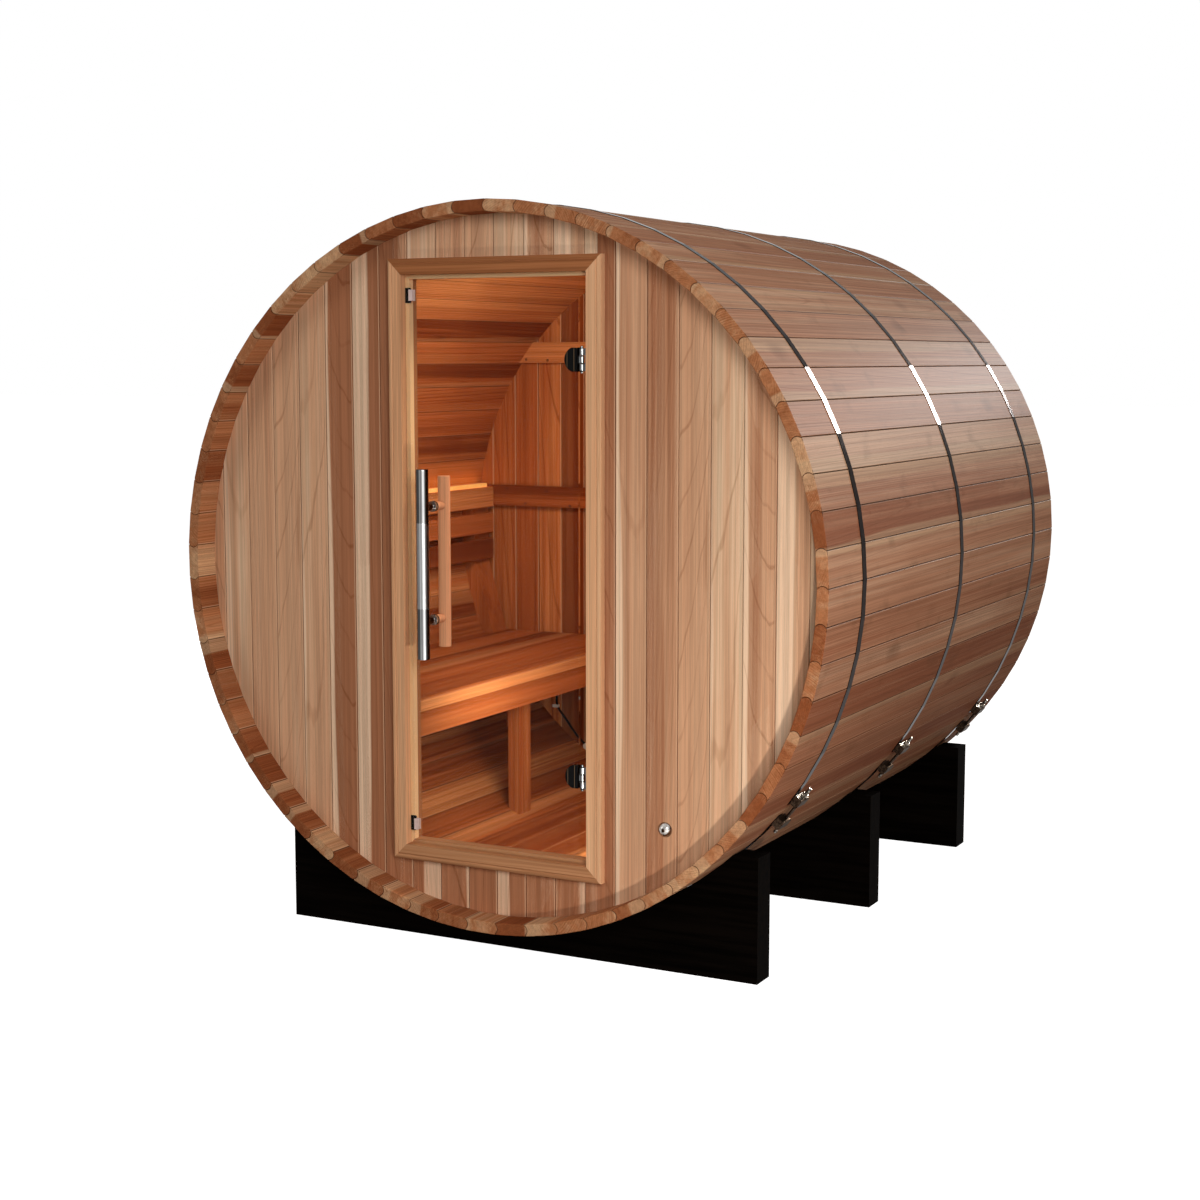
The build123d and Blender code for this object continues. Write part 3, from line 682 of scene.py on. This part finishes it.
# painted shade: the boards under the door take a darker tone for the shadow that lies there
belowDoorShadedCedar = wallCedar("belowDoorShadedCedar", 0.6, 1.0, spread=0.5, shift=0.5)
backCedar = wallCedar("backWallCedar", 0.7, 0.8, ("LESS_THAN", backWallMiddle), knotShare=0.05, spread=1.0)
benchCedar = makeBoardCedar("benchCedar", "inside", bench["pitch"] / 2, 0.35, 0.9, spread=0.5, shift=0.24,
                            ring=0.0076, sideHighlightShift=-0.6)
deckCedar = makeBoardCedar("deckCedar", "inside", deck["pitch"] / 2, 0.3, 0.9, spread=1.1, shift=-0.1, ring=0.0076)

for node, seed, finish in (
        ("front_wall_left", walls["frontSeed"], frontCedar), ("front_wall_right", walls["frontSeed"], frontCedar),
        ("front_wall_over_door", walls["overSeed"], overDoorCedar),
        ("front_wall_under_door", walls["underSeed"], belowDoorShadedCedar)):
    boardsFor(node, walls, walls["frontJoint"], seed, finish, True)
boardsFor("back_wall", walls, walls["backJoint"], walls["backSeed"], backCedar, True)
boardsFor("bench_top", bench, bench["front"], bench["seed"], benchCedar, False)
boardsFor("floor_deck", deck, deck["joint"], deck["seed"], deckCedar, False)
print("walls, bench and deck boarded")


# plain cedar pieces keep their CAD shape

# depths where the jambs and head change to the painted highlight of the stop and then to the painted shade behind it
paintedReveal = (-0.8785, -0.860)
for node, tones, along, seed, step, sapwood, lines, paintedRevealFrom in (
        ("door_jamb_left", "frame", "z", 2.1, None, 0.3, 0.5, paintedReveal),
        ("door_jamb_right", "frame", "z", 9.4, None, 0.3, 0.5, paintedReveal),
        ("door_head", "head", "x", 4.7, None, 0.0, 0.6, paintedReveal),
        ("door_sill", "sill", "x", 61.3, None, 0.2, 0.5, None),
        ("bench_apron", "inside", "y", 5.3, None, 0.0, 0.9, None),
        ("bench_leg", "inside", "z", 8.8, None, 0.0, 0.7, None),
        ("bench_bearers", "inside", "x", 5.1, ("y", 0.3, -0.955), 0.0, 0.8, None),
        ("backrest_slats", "inside", "y", 12.4, ("z", 0.084, 0.858), 0.2, 0.8, None),
        ("backrest_ribs", "inside", "z", 14.2, ("y", 0.4, -0.955), 0.2, 0.8, None),
        ("back_wall_battens", "inside", "x", 17.9, ("z", 0.3, 1.0), 0.1, 0.9, None),
        ("floor_bearers", "inside", "x", 19.3, ("y", 0.4, -0.955), 0.0, 0.8, None)):
    setMaterial(node, cedarPiece(node + "Cedar", tones, along, seed, step, sapwood, lines, paintedRevealFrom=paintedRevealFrom))


# metal, glass, plastic and painted timber

# painted reflection: light and dark streaks along round polished metal, set by the angle about its own axis, stand in
# for what the metal mirrors
def makeGleamGroup():
    group, source, result = newGroup("roundGleam", [
        ("Place", "Vector"), ("Axis X", "Float", 0.0), ("Axis Y", "Float", 0.0)],
        [("Value", "Float"), ("Distance", "Float")])
    parts = split(source["Place"])
    x = parts[0] - source["Axis X"]
    y = parts[1] - source["Axis Y"]
    turn = calc("ARCTAN2", y, x) / (2 * math.pi) + 0.5
    reflectionBands = addNode(group, "ShaderNodeValToRGB", {"Fac": turn})
    stops = [(0.0, 0.05), (0.09, 0.35), (0.178, 0.03), (0.247, 0.05), (0.271, 0.32), (0.291, 0.12), (0.332, 0.35),
             (0.348, 0.95), (0.380, 0.80), (0.402, 0.12), (0.475, 0.05), (0.518, 0.10), (0.59, 0.40), (0.70, 0.06),
             (0.80, 0.55), (0.86, 0.08), (1.0, 0.05)]
    scale = reflectionBands.color_ramp
    for place, value in stops[1:-1]:
        scale.elements.new(place).color = (value, value, value, 1)
    for element, value in ((scale.elements[0], stops[0][1]), (scale.elements[-1], stops[-1][1])):
        element.color = (value, value, value, 1)
    feed(result["Value"], Signal(reflectionBands.outputs["Color"]))
    feed(result["Distance"], calc("SQRT", x * x + y * y))
    return group


roundGleam = makeGleamGroup()


def plainFinish(name, color, metallic=0.0, rough=0.4, specks=0.0, speckScale=40.0, specular=0.3,
                edgeTint=1.0):
    material, tree, shader = startMaterial(name)
    place = newNode(tree, "ShaderNodeTexCoord")["Object"]
    cloud = noise(place, speckScale, 4.0, 0.6)
    dark = tuple(c * (1 - specks) for c in color[:3]) + (1.0,)
    coat(shader, mixColor(ramp(cloud, 0.3, 0.7), dark, color), rough - 0.05 + cloud * 0.1)
    shader.inputs["Metallic"].default_value = metallic
    shader.inputs["Specular IOR Level"].default_value = specular
    shader.inputs["Specular Tint"].default_value = (edgeTint, edgeTint, edgeTint, 1)
    return material


# black stain over straight-grained timber
def makeCradleBlack():
    material, tree, shader = startMaterial("blackStainedTimber")
    parts = objectPlace(tree)[1]
    lie = vectorOf(parts[0] * 3.0, parts[1] * 60.0, parts[2] * 60.0)
    grainLines = noise(lie, 1.0, 4.0, 0.6)
    feed(shader.inputs["Base Color"], mixColor(ramp(grainLines, 0.3, 0.7), (0.0006, 0.0004, 0.0003, 1),
                                               (0.0034, 0.0022, 0.0016, 1)))
    feed(shader.inputs["Roughness"], 0.6 + grainLines * 0.2)
    shader.inputs["Specular IOR Level"].default_value = 0.004
    emboss(shader, grainLines, 0.3, 0.0008)
    return material


# the pull's tube, with painted reflections and a satin middle between its standoffs, which is rougher and painted a
# little lighter as a reflection; the standoffs have turned rings
def makePullChrome():
    material, tree, shader = startMaterial("pullChrome")
    place, parts = objectPlace(tree)
    gleam = useGroup(roundGleam, Place=place, **{"Axis X": -0.184, "Axis Y": -0.937})
    satinSheen = ramp(parts[2], 0.888, 0.891) * ramp(parts[2], 1.1085, 1.1055)
    value = gleam["Value"] + satinSheen * 0.1
    rings = 0.13 + calc("SINE", parts[1] * 900.0) * 0.1
    onStandoff = parts[1] > -0.9195
    value = value * (1.0 - onStandoff) + rings * onStandoff
    smudge = noise(place, 24.0, 3.0, 0.6)
    value = value * (0.8 + smudge * 0.3)
    coat(shader, vectorOf(value, value, value), 0.12 + satinSheen * 0.16)
    shader.inputs["Metallic"].default_value = 1.0
    return material


# hinges: polished round the pin, where the reflections are painted, black on the plates
def makeHingeFinish(name, plate, plateMetal):
    material, tree, shader = startMaterial(name)
    place, parts = objectPlace(tree)
    gleam = useGroup(roundGleam, Place=place, **{"Axis X": 0.25, "Axis Y": -0.897})
    onPin = gleam["Distance"] < 0.0066
    specks = noise(place, 160.0, 2.0, 0.5)
    value = gleam["Value"] * (0.7 + specks * 0.6)
    for height in (0.488, 1.516):  # dark gaps where the knuckles meet
        above = abs(parts[2] - height)
        for gap in (0.0093, 0.0279):
            value = value * ramp(abs(above - gap), 0.0016, 0.0022)
    plateColor = mixColor(specks, tuple((c * 0.5 for c in plate[:3])) + (1.0,), plate)
    wearAndSheen = 0.0
    for edge in (0.2085, 0.2275):  # painted highlights: bronze lines on the edges of the raised middle
        line = ramp(abs(parts[0] - edge), 0.0012, 0.0004)
        wearAndSheen = larger(line, wearAndSheen)
    plateColor = mixColor(wearAndSheen * 0.8, plateColor, (0.17, 0.11, 0.06, 1))
    feed(shader.inputs["Base Color"], mixColor(onPin, plateColor, vectorOf(value, value, value)))
    feed(shader.inputs["Metallic"], larger(onPin, plateMetal))
    feed(shader.inputs["Roughness"], 0.18 + specks * 0.1)
    shader.inputs["Specular IOR Level"].default_value = 0.05
    return material


# tensioners: dark lugs and bright nuts and rod ends; the rod lies across the hoop's slope
tensioner = {"angle": -38.22, "lugReach": 0.0505, "rodHeight": 0.9267, "rodOffset": 0.026, "rodRadius": 0.004,
             "rodHalf": 0.076, "threadPitch": 0.00175, "threadInner": 0.0235, "nutEnd": 0.0590}


def makeTensionerSteel():
    material, tree, shader = startMaterial("tensionerSteel")
    place, parts = objectPlace(tree)
    turn = math.radians(tensioner["angle"])
    along = parts[0] * -math.sin(turn) + (parts[2] - barrel["axisHeight"]) * math.cos(turn)
    bright = abs(along) > tensioner["lugReach"]
    mottleAndGlint = noise(place, 240.0, 3.0, 0.6)
    lug = mixColor(ramp(mottleAndGlint, 0.35, 0.65), (0.02, 0.012, 0.008, 1), (0.09, 0.06, 0.04, 1))
    # on the zinc the strong light and dark mottle is a painted reflection; on the lugs it is a real mottle
    zinc = mixColor(ramp(mottleAndGlint, 0.45, 0.6), (0.05, 0.04, 0.03, 1), (0.52, 0.47, 0.41, 1))
    coat(shader, mixColor(bright, lug, zinc), 0.25 + mottleAndGlint * 0.2)
    shader.inputs["Metallic"].default_value = 1.0
    shader.inputs["Specular Tint"].default_value = (0.5, 0.5, 0.5, 1)
    return material


cradleBlack = makeCradleBlack()
# colour, metallic, roughness, share and scale of specks, specular and edge tint
bandSteel, catchBlack, strikePlastic, leadRubber, clipWhite, grommetSteel, ferruleSteel, screwSteel = [
    plainFinish(name, *looks) for name, *looks in (
        ("bandSteel", (0.036, 0.027, 0.024, 1), 1.0, 0.10, 0.4, 60.0, 0.3, 0.50),
        ("catchBlack", (0.006, 0.006, 0.006, 1), 0.0, 0.5, 0.3, 120.0, 0.1),
        ("strikePlastic", srgb(222, 196, 190), 0.0, 0.35, 0.14, 120.0, 0.2),
        ("leadRubber", (0.008, 0.008, 0.008, 1), 0.0, 0.5, 0.3, 200.0, 0.1),
        ("clipWhite", srgb(232, 228, 220), 0.0, 0.45, 0.1, 200.0, 0.2),
        ("grommetSteel", (0.62, 0.58, 0.54, 1), 1.0, 0.16, 0.75, 55.0),
        ("ferruleSteel", (0.24, 0.21, 0.19, 1), 1.0, 0.15, 0.85, 170.0),
        ("screwSteel", (0.016, 0.011, 0.008, 1), 0.4, 0.4, 0.5, 300.0))]
barWood = cedarPiece("paleBarWood", "bar", "z", 27.0, None, 0.0, 0.5)


def makeGlass():
    material, tree, shader = startMaterial("doorGlass")
    shader.inputs["IOR"].default_value = 1.09
    shader.inputs["Transmission Weight"].default_value = 1.0
    place, parts = objectPlace(tree)
    feed(shader.inputs["Roughness"], noise(place, 3.0, 2.0) * 0.003)
    across = abs(parts[0] + 0.01025)
    edge = larger(across > 0.2472, abs(parts[2] - 0.9965) > 0.725)
    feed(shader.inputs["Base Color"], mixColor(edge, (0.97, 0.985, 0.975, 1), (0.55, 0.5, 0.42, 1)))
    clear = newNode(tree, "ShaderNodeBsdfTransparent", {"Color": (0.96, 0.975, 0.965, 1)})[0]
    path = newNode(tree, "ShaderNodeLightPath")
    passing = larger(path["Is Shadow Ray"], path["Is Diffuse Ray"])
    feeds = {0: larger(passing, edge), 1: Signal(shader.outputs[0]), 2: clear}
    feed(tree.nodes["Material Output"].inputs["Surface"], newNode(tree, "ShaderNodeMixShader", feeds)[0])
    return material


# the strip looks amber where it is seen and lights the staves behind it more strongly
def makeLampGlow():
    material, tree, shader = startMaterial("lampGlow")
    place, parts = objectPlace(tree)
    dots = noise(place, 60.0, 1.0)
    color = mixColor(dots, (1.0, 0.52, 0.13, 1), (1.0, 0.64, 0.22, 1))
    feed(shader.inputs["Base Color"], color)
    feed(shader.inputs["Emission Color"], color)
    path = newNode(tree, "ShaderNodeLightPath")
    seen = larger(path["Is Camera Ray"], path["Is Transmission Ray"])
    fading = ramp(parts[1], -0.6, -0.15, 1.0, 0.22)
    feed(shader.inputs["Emission Strength"], fading * (14.0 - seen * 12.9))
    return material


for node, finish in {
        "cradle_front": cradleBlack, "cradle_middle": cradleBlack, "cradle_rear": cradleBlack, "hoops": bandSteel,
        "tensioners": makeTensionerSteel(), "door_pull_outside": makePullChrome(), "door_pull_inside": barWood,
        "hinges_on_jamb": makeHingeFinish("hingeOnJamb", (0.10, 0.10, 0.10, 1), 1.0),
        "hinges_on_glass": makeHingeFinish("hingeOnGlass", (0.003, 0.003, 0.003, 1), 0.0), "catches": catchBlack,
        "catch_strikes": strikePlastic, "lamp_lead": leadRubber, "lamp_lead_clips": clipWhite,
        "lead_grommet": grommetSteel, "glass_door": makeGlass(), "lamp_strip": makeLampGlow()}.items():
    setMaterial(node, finish)
print("fittings finished")


# small pieces set on points: screws in the battens, a plug in the deck and the rods' threads

screws = {"face": 0.4921, "radius": 0.0042, "sink": 0.0004, "places": [
    (-0.692, 1.516), (-0.613, 1.514), (-0.767, 1.097), (-0.619, 1.093), (-0.697, 1.051), (-0.533, 1.047)]}
deckPlug = {"place": (-0.063, -0.383), "radius": 0.0075, "rise": 0.0006}
hinge = {"x": 0.250, "y": -0.897, "heights": (0.488, 1.516), "collarPlace": 0.0105,
         "collarHalf": 0.00065}
ferrules = {"x": -0.184, "heights": (0.856, 1.146), "glassFront": -0.891, "glassBack": -0.883}


# a solid turned about z from its half outline, given as (radius, height) from one end of the axis to the other
def turnedMesh(name, profile, steps, unit=1.0):
    bm = bmesh.new()
    rings = []
    angles = [2 * math.pi * k / steps for k in range(steps)]
    for radius, height in profile:
        out, lift = radius * unit, height * unit
        if radius == 0:
            rings.append([bm.verts.new((0, 0, lift))])
        else:
            rings.append([bm.verts.new((out * math.cos(a), out * math.sin(a), lift)) for a in angles])
    for low, high in zip(rings, rings[1:]):
        for k in range(steps):
            n = (k + 1) % steps
            corners = [low[k % len(low)], low[n % len(low)], high[n % len(high)], high[k % len(high)]]
            bm.faces.new(dict.fromkeys(corners))
    return meshFrom(name, bm)


def pointMesh(name, points, edges=()):
    mesh = bpy.data.meshes.new(name)
    mesh.from_pydata([tuple(p) for p in points], list(edges), [])
    return mesh


def makePlacedTree():
    tree, source, result = newBuilder("pieceOnPoints", ("Piece", "Object"), ("Turn", "Rotation"))
    piece = newNode(tree, "GeometryNodeObjectInfo", {"Object": source["Piece"]})["Geometry"]
    finishTree(realize(instancesOn(source["Geometry"], piece, source["Turn"])), source, result)
    return tree


# rings at an even pitch along each edge of a guide mesh
def makeThreadTree():
    tree, source, result = newBuilder("threadsOnRods", ("Ring", "Object"), ("Pitch", "Float", 0.002))
    curve = newNode(tree, "GeometryNodeMeshToCurve", {"Mesh": source["Geometry"]})[0]
    feeds = {"Curve": curve, "Length": source["Pitch"]}
    even = newNode(tree, "GeometryNodeResampleCurve", feeds, mode="LENGTH")[0]
    tangent = newNode(tree, "GeometryNodeInputTangent")[0]
    align = newNode(tree, "FunctionNodeAlignRotationToVector", {"Vector": tangent}, axis="Z")[0]
    ring = newNode(tree, "GeometryNodeObjectInfo", {"Object": source["Ring"]})["Geometry"]
    finishTree(realize(instancesOn(even, ring, align)), source, result)
    return tree


pieceOnPoints = makePlacedTree()
threadsOnRods = makeThreadTree()


def placedPieces(name, mesh, points, angle, finish, body):
    pattern = newObject(name + "Pattern", mesh)
    turn = Matrix.Rotation(angle, 3, "X").to_euler()
    built = runNodes(name, pointMesh(name, points), pieceOnPoints, {"Piece": pattern, "Turn": turn, "Finish": finish})
    bpy.data.objects.remove(pattern)
    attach(built, body)
    return built


r = screws["radius"]
screwHead = turnedMesh("screwHead", [
    (0, -0.002), (r * 0.5, -0.002), (r, screws["sink"]), (r * 0.9, screws["sink"] + 0.0004),
    (r * 0.45, screws["sink"] + 0.0005), (r * 0.4, -0.001), (0, -0.001)], 16)
placedPieces("battenScrews", screwHead, [(x, screws["face"], z) for x, z in screws["places"]], math.pi / 2,
             screwSteel, "cabin")

r = deckPlug["radius"]
plugMesh = turnedMesh("plug", [(0, -0.004), (r, -0.004), (r, deckPlug["rise"] * 0.4), (r * 0.9, deckPlug["rise"]),
                               (0, deckPlug["rise"])], 24)
placedPieces("deckPlug", plugMesh, [(*deckPlug["place"], deck["top"])], 0.0,
             cedarPiece("plugCedar", "inside", "x", 44.0, None, 0.0, 1.0), "cabin")

# stepped rings round the standoffs, in front of the glass and behind it
front, back = ferrules["glassFront"], ferrules["glassBack"]
tenthOfMm = 0.0001
ringOut = turnedMesh("ferrule", [
    (111, 2), (132, 2), (136, 8), (136, 26), (126, 36), (126, 56), (120, 64), (118, 104), (111, 110), (111, 2)],
    32, tenthOfMm)
ringIn = turnedMesh("washer", [
    (111, 2), (130, 2), (134, 8), (134, 20), (126, 28), (111, 30), (111, 2)], 32, tenthOfMm)
placedPieces("pullFerrules", ringOut, [(ferrules["x"], front, z) for z in ferrules["heights"]], math.pi / 2,
             ferruleSteel, "door")
placedPieces("pullWashers", ringIn, [(ferrules["x"], back, z) for z in ferrules["heights"]], -math.pi / 2,
             ferruleSteel, "door")

collarMesh = turnedMesh("collar", [
    (61, 0), (72, 0), (76, 4), (76, 9), (72, 13), (61, 13), (61, 0)], 24, tenthOfMm)
collarPlaces = [(hinge["x"], hinge["y"], height + way * hinge["collarPlace"] - hinge["collarHalf"])
                for height in hinge["heights"] for way in (-1, 1)]
placedPieces("hingeCollars", collarMesh, collarPlaces, 0.0, ferruleSteel, "cabin")


def rodPoint(along, hoopPlace):
    turn = math.radians(tensioner["angle"])
    out, lift = tensioner["rodHeight"], along
    return Vector((out * math.cos(turn) - lift * math.sin(turn), hoopPlace + tensioner["rodOffset"],
                   barrel["axisHeight"] + out * math.sin(turn) + lift * math.cos(turn)))


r = tensioner["rodRadius"]
threadMesh = turnedMesh("thread", [(r * 0.9, -0.0007), (r * 1.11, 0.0), (r * 0.9, 0.0007)], 12)
hoopPlaces = (-0.722, 0.036, 0.746)
runs = [(tensioner["nutEnd"], tensioner["rodHalf"] - 0.001), (-tensioner["rodHalf"] + 0.001, -tensioner["nutEnd"]),
        (-tensioner["threadInner"], tensioner["threadInner"])]
guide = [rodPoint(end, place) for place in hoopPlaces for run in runs for end in run]
threadRing = newObject("threadRing", threadMesh)
guideMesh = pointMesh("rodThreads", guide, [(k, k + 1) for k in range(0, len(guide), 2)])
threads = runNodes("rodThreads", guideMesh, threadsOnRods, {
    "Ring": threadRing, "Pitch": tensioner["threadPitch"], "Finish": screwSteel})
bpy.data.objects.remove(threadRing)
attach(threads, "cabin")
print("screws, plug, ferrules and threads set")


# floor, light and camera

def seenDirectly(tree):
    path = newNode(tree, "ShaderNodeLightPath")
    return larger(path["Is Camera Ray"], larger(path["Is Glossy Ray"], path["Is Transmission Ray"]))


def makeFloor():
    mesh = bpy.data.meshes.new("studioFloor")
    reach = 60.0
    corners = [(-reach, -reach, 0), (reach, -reach, 0), (reach, reach, 0), (-reach, reach, 0)]
    mesh.from_pydata(corners, [], [(0, 1, 2, 3)])
    floor = newObject("studioFloor", mesh)
    material, tree, shader = startMaterial("studioFloor")
    seen = seenDirectly(tree)
    tint = mixColor(seen, (0.07, 0.05, 0.04, 1), (0.8, 0.8, 0.8, 1))
    feed(shader.inputs["Base Color"], tint)
    shader.inputs["Roughness"].default_value = 1.0
    shader.inputs["Specular IOR Level"].default_value = 0.0
    shader.inputs["Emission Color"].default_value = (1, 1, 1, 1)
    feed(shader.inputs["Emission Strength"], seen * 0.94)
    mesh.materials.append(material)


def makeWorld():
    world = bpy.data.worlds.new("studioWorld")
    bpy.context.scene.world = world
    world.use_nodes = True
    tree = world.node_tree
    shader = tree.nodes["Background"]
    seen = seenDirectly(tree)
    feed(shader.inputs["Color"], mixColor(seen, (1.0, 0.86, 0.74, 1), (1, 1, 1, 1)))
    feed(shader.inputs["Strength"], 0.145 + seen * 0.855)


def areaLamp(name, place, target, size, power, color=(1, 1, 1)):
    lamp = bpy.data.lights.new(name, "AREA")
    lamp.shape = "DISK"
    lamp.size = size
    lamp.energy = power
    lamp.color = color
    obj = newObject(name, lamp)
    obj.location = place
    obj.rotation_euler = (Vector(target) - Vector(place)).to_track_quat("-Z", "Y").to_euler()
    obj.visible_camera = False
    obj.visible_transmission = False
    return obj


photoCamera = {"lens": 60.8, "place": (2.5636, -5.2485, 1.5172), "tiltDown": 0.1183, "turn": 0.4798}


def makeCamera():
    camera = bpy.data.cameras.new("photoCamera")
    camera.sensor_width = 36.0
    camera.lens = photoCamera["lens"]
    obj = newObject("photoCamera", camera)
    obj.location = photoCamera["place"]
    obj.rotation_euler = (math.pi / 2 - photoCamera["tiltDown"], 0.0, photoCamera["turn"])
    bpy.context.scene.camera = obj


makeFloor()
makeWorld()
areaLamp("keyLamp", (3.4, -5.0, 2.7), (0, 0, 1.0), 2.4, 136)
areaLamp("sideLamp", (5.0, -0.9, 3.5), (0, 0, 1.0), 1.5, 62)
areaLamp("fillLamp", (-4.5, -5.0, 2.6), (0, 0, 1.0), 3.0, 78)
areaLamp("floorLamp", (1.5, -2.2, 0.12), (0.2, -0.9, 0.9), 0.10, 12, (1.0, 0.92, 0.84))
areaLamp("rearLamp", (-4.2, 4.6, 1.7), (0, 0.3, 1.0), 3.0, 110)

# the hoops mirror this one on two facets each
aim, slant = Vector((0.75, -0.3, 1.45)), Vector((1, 0, 1))
edgeLamp = areaLamp("edgeLamp", (1.68, 3.6, 2.60), aim, 0.60, 560)
edgeLamp.data.shape = "RECTANGLE"
edgeLamp.data.size, edgeLamp.data.size_y = 1.10, 0.60
out = (edgeLamp.location - aim).normalized()
long = (slant - out * out.dot(slant)).normalized()
long = (long - out.cross(long) * 0.2).normalized()
edgeLamp.rotation_euler = Matrix((long, out.cross(long), out)).transposed().to_euler()
edgeLamp.visible_diffuse = False
for name, place, target, power in (("cabinLamp", (0.1, -0.45, 1.72), (-0.35, 0.2, 0.8), 10),
                                   ("lowLamp", (0.12, -0.55, 0.62), (-0.45, 0.2, 0.3), 3.4)):
    cabinLamp = areaLamp(name, place, target, 0.4, power, (1.0, 0.84, 0.64))
    cabinLamp.visible_glossy = False
makeCamera()
bpy.context.scene.view_settings.view_transform = "Standard"
